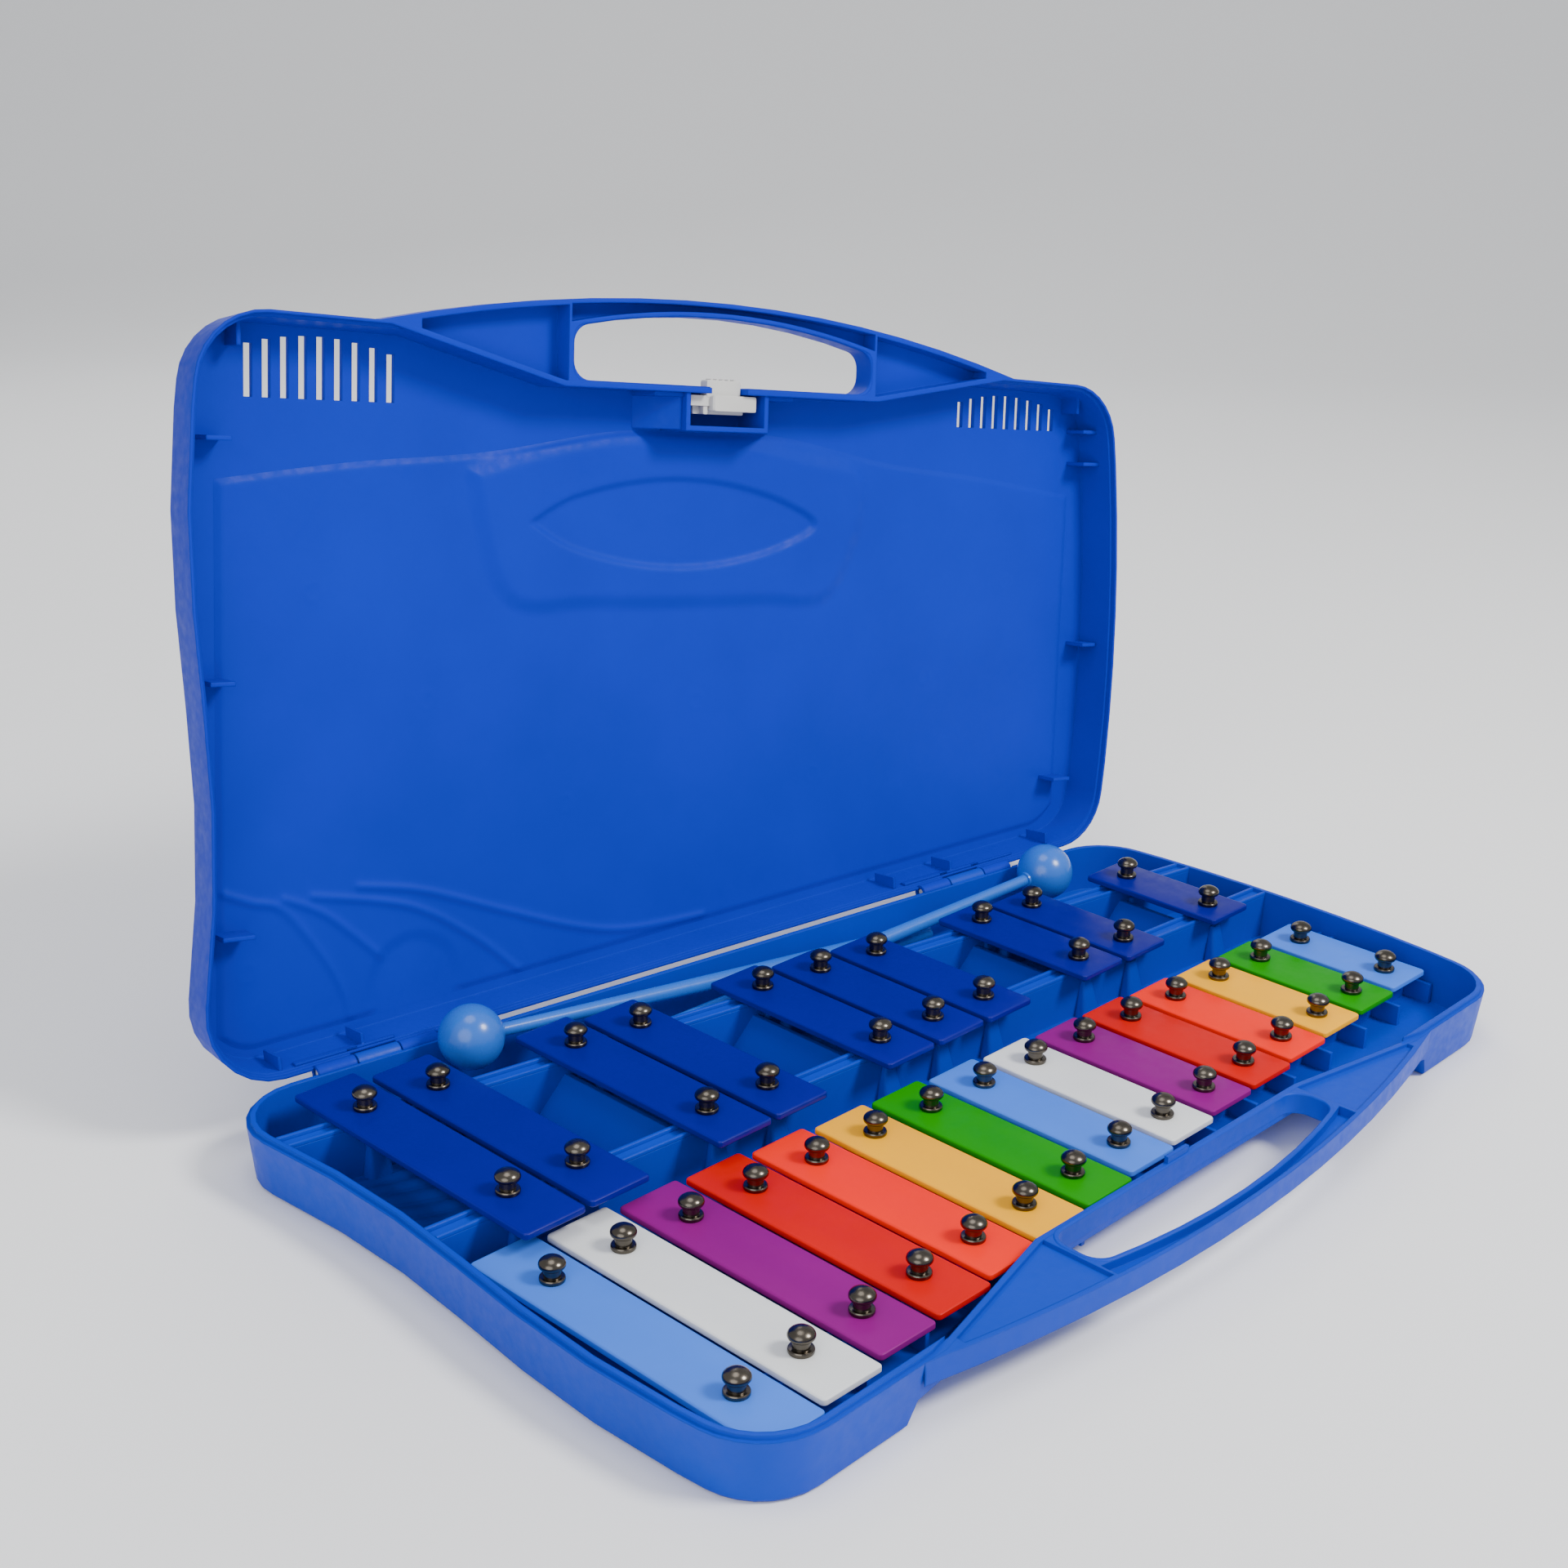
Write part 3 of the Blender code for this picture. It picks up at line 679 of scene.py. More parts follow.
def groove_ring(spans: int = 16) -> Ring:
    """Draw the groove between the grip's outer wall and the collar of the opening.

    Args:
        spans: Facets along it.

    Returns:
        Its outline, anticlockwise.
    """
    xs = [-GROOVE_HALF + 2 * GROOVE_HALF * i / spans for i in range(spans + 1)]
    ahead = [(x, grip_arc(x) + GRIP_WALL) for x in xs]
    behind = [(x, hole_front(x) - COLLAR_WALL) for x in xs]
    return ahead + behind[::-1]


def strip_ring(row: tuple[float, float], shift: float, width: float, x0: float, x1: float) -> Ring:
    """Draw a strip that runs along a slanting row.

    Args:
        row: The row's place at the middle, and its slope.
        shift: How far the strip stands behind the row.
        width: Its width.
        x0: Its left end.
        x1: Its right end.

    Returns:
        Its outline, anticlockwise.
    """
    half = width / 2
    return [
        (x0, row_y(row, x0) + shift - half),
        (x1, row_y(row, x1) + shift - half),
        (x1, row_y(row, x1) + shift + half),
        (x0, row_y(row, x0) + shift + half),
    ]


def smooth_line(points: Sequence[Point2], steps: int = 12) -> np.ndarray:
    """Run a curve through points.

    Args:
        points: The points.
        steps: Stations from one point to the next.

    Returns:
        The stations, an array of rows of x and y.
    """
    knots = [points[0], *points, points[-1]]
    line = []
    for i in range(1, len(knots) - 2):
        p0, p1, p2, p3 = (np.array(knots[i + k], float) for k in (-1, 0, 1, 2))
        for k in range(steps):
            t = k / steps
            line.append(0.5 * (
                2 * p1 + (p2 - p0) * t + (2 * p0 - 5 * p1 + 4 * p2 - p3) * t**2
                + (3 * p1 - p0 - 3 * p2 + p3) * t**3
            ))
    line.append(np.array(points[-1], float))
    return np.array(line)


def distance_to(plan: np.ndarray, line: np.ndarray) -> np.ndarray:
    """Measure how far each point of a plan lies from a line.

    Args:
        plan: The points, with x and y along the last axis.
        line: The line's stations.

    Returns:
        The distances.
    """
    nearest = np.full(plan.shape[:-1], 1e9)
    for a, b in zip(line, line[1:]):
        edge = b - a
        reach = np.clip(((plan - a) @ edge) / max(edge @ edge, 1e-9), 0, 1)
        gap = plan - a - reach[..., None] * edge
        nearest = np.minimum(nearest, np.hypot(gap[..., 0], gap[..., 1]))
    return nearest


def inside(plan: np.ndarray, ring: np.ndarray) -> np.ndarray:
    """Find which points of a plan lie inside a closed outline.

    Args:
        plan: The points, with x and y along the last axis.
        ring: The outline's stations.

    Returns:
        True for each point inside.
    """
    x, y = plan[..., 0], plan[..., 1]
    held = np.zeros(x.shape, bool)
    for a, b in zip(ring, np.roll(ring, -1, axis=0)):
        crosses = (a[1] > y) != (b[1] > y)
        reach = (b[0] - a[0]) * (y - a[1]) / (b[1] - a[1] + 1e-12) + a[0]
        held ^= crosses & (x < reach)
    return held


def step_profile(plan: np.ndarray, ring: np.ndarray, height: float, ramp: float) -> np.ndarray:
    """Raise an area with a soft edge.

    Args:
        plan: The points, with x and y along the last axis.
        ring: The area's outline.
        height: Its height.
        ramp: Width of its edge.

    Returns:
        The height at each point, zero outside.
    """
    closed = np.vstack([ring, ring[:1]])
    gap = distance_to(plan, closed)
    signed = np.where(inside(plan, ring), gap, -gap)
    share = np.clip(signed / ramp + 0.5, 0, 1)
    return height * share * share * (3 - 2 * share)


def ridge_profile(plan: np.ndarray, line: np.ndarray, height: float, width: float) -> np.ndarray:
    """Raise a rounded ridge along a line.

    Args:
        plan: The points, with x and y along the last axis.
        line: The line's stations.
        height: Height of the ridge.
        width: Half its width.

    Returns:
        The height at each point.
    """
    gap = distance_to(plan, line)
    return height * np.exp(-((gap / width) ** 2))


@dataclass
class Repeater:
    """Copies one small solid to many places with a Geometry Nodes tree."""

    palette: Palette
    tree: bpy.types.NodeTree | None = None
    keys: dict[str, str] = field(default_factory=dict)

    def _make_tree(self) -> None:
        """Build the tree: points, instances with a fixed-seed turn, realised, with a material."""
        tree = bpy.data.node_groups.new("repeat_on_points", "GeometryNodeTree")
        wanted = (
            ("Points", "NodeSocketGeometry"),
            ("Piece", "NodeSocketObject"),
            ("Finish", "NodeSocketMaterial"),
            ("Seed", "NodeSocketInt"),
        )
        for title, kind in wanted:
            made = tree.interface.new_socket(name=title, in_out="INPUT", socket_type=kind)
            self.keys[title] = made.identifier
        tree.interface.new_socket(name="Geometry", in_out="OUTPUT", socket_type="NodeSocketGeometry")
        given = tree.nodes.new("NodeGroupInput")
        result = tree.nodes.new("NodeGroupOutput")
        piece = tree.nodes.new("GeometryNodeObjectInfo")
        spread = tree.nodes.new("GeometryNodeInstanceOnPoints")
        turn = tree.nodes.new("FunctionNodeRandomValue")
        turn.data_type = "FLOAT_VECTOR"
        turn.inputs["Min"].default_value = (0.0, 0.0, 0.0)
        turn.inputs["Max"].default_value = (0.0, 0.0, math.tau)
        real = tree.nodes.new("GeometryNodeRealizeInstances")
        paint = tree.nodes.new("GeometryNodeSetMaterial")
        link = tree.links.new
        link(given.outputs["Points"], spread.inputs["Points"])
        link(given.outputs["Piece"], piece.inputs["Object"])
        link(given.outputs["Seed"], turn.inputs["Seed"])
        link(piece.outputs["Geometry"], spread.inputs["Instance"])
        link(turn.outputs["Value"], spread.inputs["Rotation"])
        link(spread.outputs["Instances"], real.inputs["Geometry"])
        link(real.outputs["Geometry"], paint.inputs["Geometry"])
        link(given.outputs["Finish"], paint.inputs["Material"])
        link(paint.outputs["Geometry"], result.inputs["Geometry"])
        self.tree = tree

    def spread(
        self, name: str, piece: bpy.types.Object, places: Sequence[Vector], finish: str,
    ) -> bpy.types.Object:
        """Copy a piece to each place.

        Args:
            name: Name of the new object.
            piece: The solid to copy, modelled at the origin.
            places: Where the copies go, in millimetres.
            finish: Key of their finish.

        Returns:
            One object that holds all the copies, with no modifier left.
        """
        if self.tree is None:
            self._make_tree()
        mesh = bpy.data.meshes.new(name)
        mesh.from_pydata([p * MM for p in places], [], [])
        made = bpy.data.objects.new(name, mesh)
        bpy.context.scene.collection.objects.link(made)
        step = made.modifiers.new("repeat", "NODES")
        step.node_group = self.tree
        step[self.keys["Piece"]] = piece
        step[self.keys["Finish"]] = self.palette.get(finish)
        step[self.keys["Seed"]] = SEED
        graph = bpy.context.evaluated_depsgraph_get()
        final = bpy.data.meshes.new_from_object(made.evaluated_get(graph), depsgraph=graph)
        made.modifiers.clear()
        made.data = final
        final.name = name
        return made


def carve(target: bpy.types.Object, tool: bpy.types.Object) -> None:
    """Cut a helper solid out of a piece, and remove the helper.

    Args:
        target: The piece.
        tool: The helper.
    """
    step = target.modifiers.new("carve", "BOOLEAN")
    step.operation = "DIFFERENCE"
    step.solver = "EXACT"
    step.object = tool
    graph = bpy.context.evaluated_depsgraph_get()
    cut = bpy.data.meshes.new_from_object(target.evaluated_get(graph), depsgraph=graph)
    target.modifiers.clear()
    target.data = cut
    bpy.data.objects.remove(tool, do_unlink=True)


@dataclass
class Assembly:
    """What every sub-assembly shares: the frame's nodes, the palette and the body it rides on."""

    frame: dict
    palette: Palette
    repeater: Repeater

    def hang(
        self,
        piece: bpy.types.Object,
        body: Body,
        slot: Slot,
        stands_for: Iterable[str] = (),
    ) -> bpy.types.Object:
        """Fix a finished piece to a CAD body.

        Args:
            piece: The piece, in place.
            body: The CAD body it moves with.
            slot: The record's material slot; not used.
            stands_for: CAD nodes it is shown instead of.

        Returns:
            The piece.
        """
        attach(piece, body.value)
        names = tuple(stands_for)
        if names:
            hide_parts(*names)
        LOG.info("%s moves with %s", piece.name, body.value)
        return piece

    def refined(self, node: str, name: str, finish: str) -> bpy.types.Object:
        """Copy a CAD node's shape into a clean, smoothly shaded piece.

        Args:
            node: The CAD node.
            name: Name of the new piece.
            finish: Key of its finish.

        Returns:
            The new piece.
        """
        mesh = self.frame["nodes"][node].data.copy()
        normals = mesh.attributes.get("custom_normal")
        if normals:
            mesh.attributes.remove(normals)
        form = bmesh.new()
        form.from_mesh(mesh)
        bmesh.ops.remove_doubles(form, verts=form.verts, dist=0.01 * MM)
        bmesh.ops.dissolve_limit(
            form, angle_limit=math.radians(0.4), verts=form.verts, edges=form.edges
        )
        form.to_mesh(mesh)
        form.free()
        mesh.materials.clear()
        mesh.materials.append(self.palette.get(finish))
        for face in mesh.polygons:
            face.material_index = 0
        mesh.shade_smooth()
        mesh.set_sharp_from_angle(angle=CREASE)
        made = bpy.data.objects.new(name, mesh)
        bpy.context.scene.collection.objects.link(made)
        return made


@dataclass(frozen=True)
class Note:
    """One bar: its name, place along the row, pitch above the lowest and finish."""

    name: str
    place: float
    semitones: int
    slot: Slot
    sharp: bool

    @property
    def x(self) -> float:
        """Centre of the bar across the case."""
        return (self.place - 8) * PITCH

    @property
    def y(self) -> float:
        """Centre of the bar from front to back."""
        return SHARP_CENTRE_Y + SHARP_SLOPE * self.x if self.sharp else NATURAL_CENTRE_Y

    @property
    def top(self) -> float:
        """Height of the bar's upper face."""
        return SHARP_TOP if self.sharp else NATURAL_TOP

    @property
    def length(self) -> float:
        """Length of the bar."""
        return LONGEST_BAR * 2 ** (-self.semitones / 24)

    @property
    def rows(self) -> dict[str, tuple[float, float]]:
        """The two slanting rows of pins that the bar sits on."""
        return SHARP_ROWS if self.sharp else NATURAL_ROWS


def scale_notes() -> list[Note]:
    """Work out every bar from the scale.

    Returns:
        The naturals, then a sharp in every gap of two semitones.
    """
    octave = len(OCTAVE)
    steps = [OCTAVE[i % octave] + 12 * (i // octave) for i in range(NATURALS)]
    notes = [
        Note(f"bar_natural_{i + 1:02d}", i + 1.0, s, NATURAL_SLOTS[i % octave], False)
        for i, s in enumerate(steps)
    ]
    gaps = [i for i in range(NATURALS - 1) if steps[i + 1] - steps[i] == 2]
    notes += [
        Note(f"bar_sharp_{n + 1:02d}", i + 1.5, steps[i] + 1, Slot.DEEP_BLUE, True)
        for n, i in enumerate(gaps)
    ]
    return notes


def sharp_runs(notes: Iterable[Note]) -> list[list[Note]]:
    """Split the sharps into their runs.

    Args:
        notes: Every bar.

    Returns:
        The runs, from the left.
    """
    runs: list[list[Note]] = []
    for note in (n for n in notes if n.sharp):
        if not runs or note.place - runs[-1][-1].place > 1.5:
            runs.append([])
        runs[-1].append(note)
    return runs


@dataclass
class NoteBars(Assembly):
    """The enamelled steel bars, with rolled edges and drilled holes."""

    edges: Outline = (
        (-BAR_THICKNESS, 0.55), (0.2 - BAR_THICKNESS, 0.2), (0.5 - BAR_THICKNESS, 0.0),
        (-0.8, 0.0), (-0.4, 0.12), (-0.12, 0.42), (0.0, 0.9),
    )
    corner: float = 1.6
    hole_radius: float = 3.2

    def build(self, notes: Sequence[Note]) -> None:
        """Make every bar.

        Args:
            notes: The bars to make.
        """
        for note in notes:
            self.hang(self._bar(note), Body.TRAY, note.slot, [note.name])

    def _bar(self, note: Note) -> bpy.types.Object:
        """Make one bar with its two holes.

        Args:
            note: The bar.

        Returns:
            The piece.
        """
        wide, long = BAR_WIDTH / 2, note.length / 2
        outline = box_ring(note.x - wide, note.x + wide, note.y - long, note.y + long, self.corner)
        sketch = Sketch()
        sketch.loft([(note.top + z, inset(outline, gap)) for z, gap in self.edges])
        bar = sketch.build(f"enamel_{note.name}", self.palette.get(note.slot.value))
        tool = Sketch()
        for row in note.rows.values():
            base = Vector((note.x, row_y(row, note.x), note.top - 2 * BAR_THICKNESS))
            tool.revolve([(0, self.hole_radius), (8, self.hole_radius)], base, UP, 24)
        carve(bar, tool.build("drill", self.palette.get(note.slot.value)))
        bar.data.shade_smooth()
        bar.data.set_sharp_from_angle(angle=math.radians(30))
        return bar


@dataclass
class PinRows(Assembly):
    """Mushroom-headed pins, their collars and the pale rubber seats below the bars."""

    pin: Outline = (
        (-4.2, 2.6), (0.0, 2.6), (0.02, 3.95), (0.3, 4.1), (1.15, 4.1), (1.5, 3.85), (1.65, 2.75),
        (4.2, 2.75), (4.35, 3.2), (4.7, 3.95), (5.2, 4.25), (5.75, 4.3), (6.3, 4.15), (6.9, 3.7),
        (7.5, 2.9), (8.0, 1.9), (8.22, 0.95), (8.3, 0.1),
    )
    seat: Outline = ((-4.4, 3.1), (-4.3, 3.6), (-3.4, 3.75), (-2.7, 3.6), (-2.55, 3.1))

    def build(self, notes: Sequence[Note]) -> None:
        """Make the pins of each row.

        Args:
            notes: The bars that the pins hold.
        """
        pin, seat = (
            Sketch().revolve(profile, Vector(), UP, sides).build(f"{key}_pattern", self.palette.get(key))
            for key, profile, sides in (("pin", self.pin, 28), ("seat", self.seat, 24))
        )
        naturals = [n for n in notes if not n.sharp]
        for side in ("rear", "front"):
            self._row(f"natural_pins_{side}", naturals, side, pin, seat)
            for number, run in enumerate(sharp_runs(notes), 1):
                self._row(f"sharp_pins_{side}_{number}", run, side, pin, seat)
        for pattern in (pin, seat):
            bpy.data.objects.remove(pattern, do_unlink=True)

    def _row(
        self, node: str, run: Sequence[Note], side: str, pin: bpy.types.Object, seat: bpy.types.Object,
    ) -> None:
        """Make the pins and seats of one CAD node.

        Args:
            node: The CAD node.
            run: The bars that the pins hold.
            side: Which end of the bars, rear or front.
            pin: The pin to copy.
            seat: The seat to copy.
        """
        places = [Vector((n.x, row_y(n.rows[side], n.x), n.top)) for n in run]
        pins = self.repeater.spread(f"turned_{node}", pin, places, "pin")
        self.hang(pins, Body.TRAY, Slot.PIN, [node])
        seats = self.repeater.spread(f"rubber_{node}", seat, places, "seat")
        self.hang(seats, Body.TRAY, Slot.PIN)


@dataclass
class Tray(Assembly):
    """The lower shell with everything moulded inside it."""

    groove_depth: float = 3.2
    collar_depth: float = 7.9
    collar_lift: float = 0.15
    wall: float = 3.0
    ridge_gap: float = 3.0
    ridge_width: float = 1.5
    ridge_levels: Point2 = (-4.6, -3.0)
    rib_half: float = 0.9
    rib_top: float = 10.8
    root: float = 0.2
    wedge_top: float = 16.8
    wave_height: float = 0.35

    def build(self, notes: Sequence[Note]) -> None:
        """Make the shell and its inner details.

        Args:
            notes: The bars, which set where the moulded details stand.
        """
        shell = self.refined("base_tray", "tray_shell", "case")
        groove = Sketch().loft([(RIM - self.groove_depth, groove_ring()), (RIM + 4, groove_ring())])
        carve(shell, groove.build("groove_tool", self.palette.get("case")))
        shell.data.set_sharp_from_angle(angle=CREASE)
        collar = Sketch().collar(
            hole_outline(COLLAR_WALL), hole_outline(0.0), RIM - self.collar_depth, RIM + self.collar_lift,
        )
        self._add(collar, "tray_hole_collar")
        self.hang(shell, Body.TRAY, Slot.CASE, ["base_tray"])
        self._ridges()
        self._buttresses(notes)
        self._front_ribs()
        self._wedges(notes)
        self._floor_waves()
        for side in ("left", "right"):
            rod = self.refined(f"hinge_rod_{side}", f"wire_{side}", "rod")
            self.hang(rod, Body.TRAY, Slot.STEEL, [f"hinge_rod_{side}"])

    def _add(self, sketch: Sketch, name: str, smooth: float = 35.0) -> None:
        """Turn a sketch into a blue piece of the tray.

        Args:
            sketch: The sketch.
            name: The piece's name.
            smooth: Edges sharper than this many degrees stay sharp.
        """
        piece = sketch.build(name, self.palette.get("case"), smooth=smooth)
        self.hang(piece, Body.TRAY, Slot.CASE)

    def _span(self, row: Point2) -> Point2:
        """Return where a rail meets the side walls."""
        return left_x(row_y(row, -205)) + self.wall, right_x(row_y(row, 205)) - self.wall

    def _ridges(self) -> None:
        """Two thin walls with a slot between them along the top of each rail."""
        sketch = Sketch()
        for rows, top in ((NATURAL_ROWS, NATURAL_TOP), (SHARP_ROWS, SHARP_TOP)):
            low, high = (top + level for level in self.ridge_levels)
            for row in rows.values():
                x0, x1 = self._span(row)
                for shift in (-self.ridge_gap, self.ridge_gap):
                    ring = strip_ring(row, shift, self.ridge_width, x0, x1)
                    sketch.slab(ring, low, high, 0.35)
        self._add(sketch, "rail_ridges")

    def _buttresses(self, notes: Sequence[Note]) -> None:
        """Make the columns in front of each sharp rail, below the ends of the bars.

        Args:
            notes: The bars.
        """
        sketch = Sketch()
        for note in (n for n in notes if n.sharp):
            for row in (SHARP_ROWS["front"], SHARP_ROWS["rear"]):
                y = row_y(row, note.x) - RAIL_WIDTH / 2
                foot = box_ring(note.x - 5.2, note.x + 5.2, y - 5.5, y + 0.6, 2.0, 4)
                head = box_ring(note.x - 3.0, note.x + 3.0, y - 2.4, y + 0.6, 1.2, 4)
                levels = [(FLOOR - self.root, foot), (14.5, head), (17.4, inset(head, 0.5))]
                sketch.loft(levels)
        self._add(sketch, "rail_buttresses")

    def _front_ribs(self) -> None:
        """Short ribs in front of the front rail and behind the rear rail of the naturals."""
        sketch = Sketch()
        for i in range(NATURALS + 1):
            x = (i - NATURALS / 2) * PITCH
            front = row_y(NATURAL_ROWS["front"], x)
            rear = row_y(NATURAL_ROWS["rear"], x)
            start = max(front - 15.0, front_y(x) + 8.0)
            for near, far in ((start, front - self.wall), (rear + self.wall, rear + 9.0)):
                ring = box_ring(x - self.rib_half, x + self.rib_half, near, far)
                sketch.slab(ring, FLOOR - self.root, self.rib_top)
        self._add(sketch, "front_ribs")

    def _wedges(self, notes: Sequence[Note]) -> None:
        """Make the sloping faces at the ends of the pockets between the runs of sharps.

        Args:
            notes: The bars.
        """
        sketch = Sketch()
        runs = sharp_runs(notes)
        for before, after in zip(runs, runs[1:]):
            left = before[-1].x + BAR_WIDTH / 2
            right = after[0].x - BAR_WIDTH / 2
            for edge, lean in ((left - 2.0, 1), (right + 2.0, -1)):
                foot = edge + lean * 9.0
                x0, x1 = sorted((edge - lean * 5.0, foot))
                t0, t1 = sorted((edge - lean * 5.0, edge - lean * 3.0))
                sketch.loft([
                    (FLOOR - self.root, self._pocket_ring(x0, x1)),
                    (self.wedge_top, self._pocket_ring(t0, t1)),
                ])
        self._add(sketch, "pocket_wedges")

    @staticmethod
    def _pocket_ring(x0: float, x1: float) -> Ring:
        """Draw a strip from the front rail of the sharps to the rear one.

        Args:
            x0: Its left side.
            x1: Its right side.

        Returns:
            Its outline, anticlockwise.
        """
        front, rear = SHARP_ROWS["front"], SHARP_ROWS["rear"]
        return [
            (x0, row_y(front, x0) + 3.0), (x1, row_y(front, x1) + 3.0),
            (x1, row_y(rear, x1) - 3.0), (x0, row_y(rear, x0) - 3.0),
        ]

    def _floor_waves(self) -> None:
        """The wavy ribbing on the floor of the pockets."""
        xs = np.linspace(-196, 200, 500)
        shares = np.linspace(0, 1, 70)
        front = SHARP_ROWS["front"][0] + SHARP_ROWS["front"][1] * xs + 4.2
        rear = SHARP_ROWS["rear"][0] + SHARP_ROWS["rear"][1] * xs - 4.2
        y = front[None, :] + shares[:, None] * (rear - front)[None, :]
        x = np.broadcast_to(xs, y.shape)
        phase = (x * 0.55 + y * 0.9) + 3.0 * np.sin(x * 0.09) + 2.0 * np.sin(y * 0.12)
        z = FLOOR + 0.25 + self.wave_height * np.sin(phase * 0.9)
        self._add(Sketch().sheet(np.stack([x, y, z], axis=-1)), "pocket_floor_waves", 80)


@dataclass
class Lid(Assembly):
    """The upper shell with its embossed panel, ribs and hinge details, drawn shut."""

    waves: tuple[Outline, ...] = (
        ((-199, 134), (-188, 138), (-176, 142), (-161, 160), (-153, 174), (-150, 184)),
        ((-176, 138), (-160, 145), (-140, 161), (-117, 182)),
        ((-165, 138), (-127, 145), (-100, 159), (-78, 176)),
        ((-147, 136), (-121, 140), (-86, 151), (-56, 160), (-30, 164), (6, 162)),
    )
    badge: Outline = (
        (-102.5, -12.5), (-70.5, -21.5), (-40.5, -26.5), (-10.5, -27.5), (19.5, -26.5),
        (49.5, -21.5), (81.5, -12.5), (66.5, 32.5), (29.5, 35.3), (-10.5, 36.0),
        (-50.5, 35.3), (-87.5, 32.5),
    )
    lens: Outline = (
        (-77.5, 5.5), (-60.5, -3.5), (-35.5, -9.5), (-10.5, -11.5), (14.5, -9.5), (39.5, -3.5),
        (56.5, 5.5), (39.5, 14.5), (14.5, 20.5), (-10.5, 22.5), (-35.5, 20.5), (-60.5, 14.5),
    )
    panel_edge: Outline = (
        (-203, -8), (-150, -15), (-95, -20), (-40, -29), (0, -29.5),
        (40, -29), (95, -20), (150, -15), (203, -8),
    )
    ejector_marks: Outline = (
        (-120, 70), (120, 70), (-60, 112), (60, 108), (0, 75), (-165, 30), (165, 30), (-190, 163),
    )
    plates: tuple[tuple[float, float, float], ...] = (
        (-180.0, -156.0, 26.5), (-160.0, -141.0, 25.2),
        (102.0, 126.0, 26.5), (122.0, 144.0, 25.2), (140.0, 164.0, 24.6),
    )
    fins: tuple[float, ...] = (-186.0, -154.0, 96.0, 128.0, 185.0)
    gussets: tuple[tuple[float, float, float], ...] = (
        (-203, -191, 148.0), (191, 201, 118.0), (-208, -199, -22.0), (200, 211, -22.0),
        (199, 210, -36.0), (-207, -198, 60.0), (205, 213, 58.0),
    )
    gusset_thick: float = 1.6
    front_gusset_x: float = 196.0
    groove_top: float = 28.6
    collar_levels: Point2 = (21.5, 31.5)
    window_levels: Point2 = (19.0, 31.0)
    panel_half: float = 201.0
    panel_margin: float = 9.0
    panel_rise: float = 0.8
    ball_room: Point2 = (-124.0, 174.4)
    ball_radius: float = 15.0
    wave_size: Point2 = (0.75, 1.5)
    mark_radius: float = 3.2
    mark_size: Point2 = (0.14, 0.5)
    badge_size: Point2 = (1.7, 8.0)
    lens_size: Point2 = (1.6, 3.6)
    wall_face: float = 4.0
    cheek_near: float = 19.4
    cheek_far: float = 33.0

    def build(self) -> None:
        """Make the shell and the details inside and outside it."""
        # The lid's finish is the case plastic darkened: painted shade.
        shell = self.refined("lid_shell", "lid_moulding", "lid")
        groove = Sketch().loft([(SEAT - 4, groove_ring()), (self.groove_top, groove_ring())])
        carve(shell, self._moulding(groove, "lid_groove_tool"))
        shell.data.set_sharp_from_angle(angle=CREASE)
        rim = Sketch().collar(hole_outline(COLLAR_WALL), hole_outline(0.0), *self.collar_levels)
        collar = self._moulding(rim, "lid_hole_collar")
        window = Sketch().loft([(z, box_ring(-9.0, 9.0, -48.5, -43.0)) for z in self.window_levels])
        carve(collar, self._moulding(window, "window_tool"))
        self.hang(collar, Body.LID, Slot.CASE)
        self.hang(shell, Body.LID, Slot.CASE, ["lid_shell"])
        self._panel("lid_panel_inside", ROOF_INNER - 0.04, -1.0)
        self._panel("lid_panel_outside", ROOF_OUTER + 0.02, 1.0)
        self._corner_ribs()
        self._hinge_plates()
        self._latch_frame()

    def _moulding(self, sketch: Sketch, name: str, smooth: float = 35.0) -> bpy.types.Object:
        """Turn a sketch of the shut lid into a blue piece of the open one.

        Args:
            sketch: The sketch.
            name: The piece's name.
            smooth: Edges sharper than this many degrees stay sharp.

        Returns:
            The piece.
        """
        # The lid finish carries painted shade: a darker copy of the case plastic.
        return sketch.build(name, self.palette.get("lid"), opening(), smooth)

    def _relief(self, plan: np.ndarray) -> np.ndarray:
        """Work out the moulded relief: waves, ejector marks, badge and the lens in it.

        Args:
            plan: The points, with x and y along the last axis.

        Returns:
            The height at each point.
        """
        height = np.zeros(plan.shape[:-1])
        for wave in self.waves:
            height += ridge_profile(plan, smooth_line(wave), *self.wave_size)
        turn = np.linspace(0, math.tau, 33)
        ring = self.mark_radius * np.stack([np.cos(turn), np.sin(turn)], axis=-1)
        for centre in self.ejector_marks:
            height += ridge_profile(plan, ring + np.array(centre), *self.mark_size)
        badge = smooth_line(self.badge + self.badge[:1], 6)[:-1]
        lens = smooth_line(self.lens + self.lens[:1], 6)[:-1]
        height += step_profile(plan, badge, *self.badge_size)
        height -= step_profile(plan, lens, *self.lens_size)
        return height

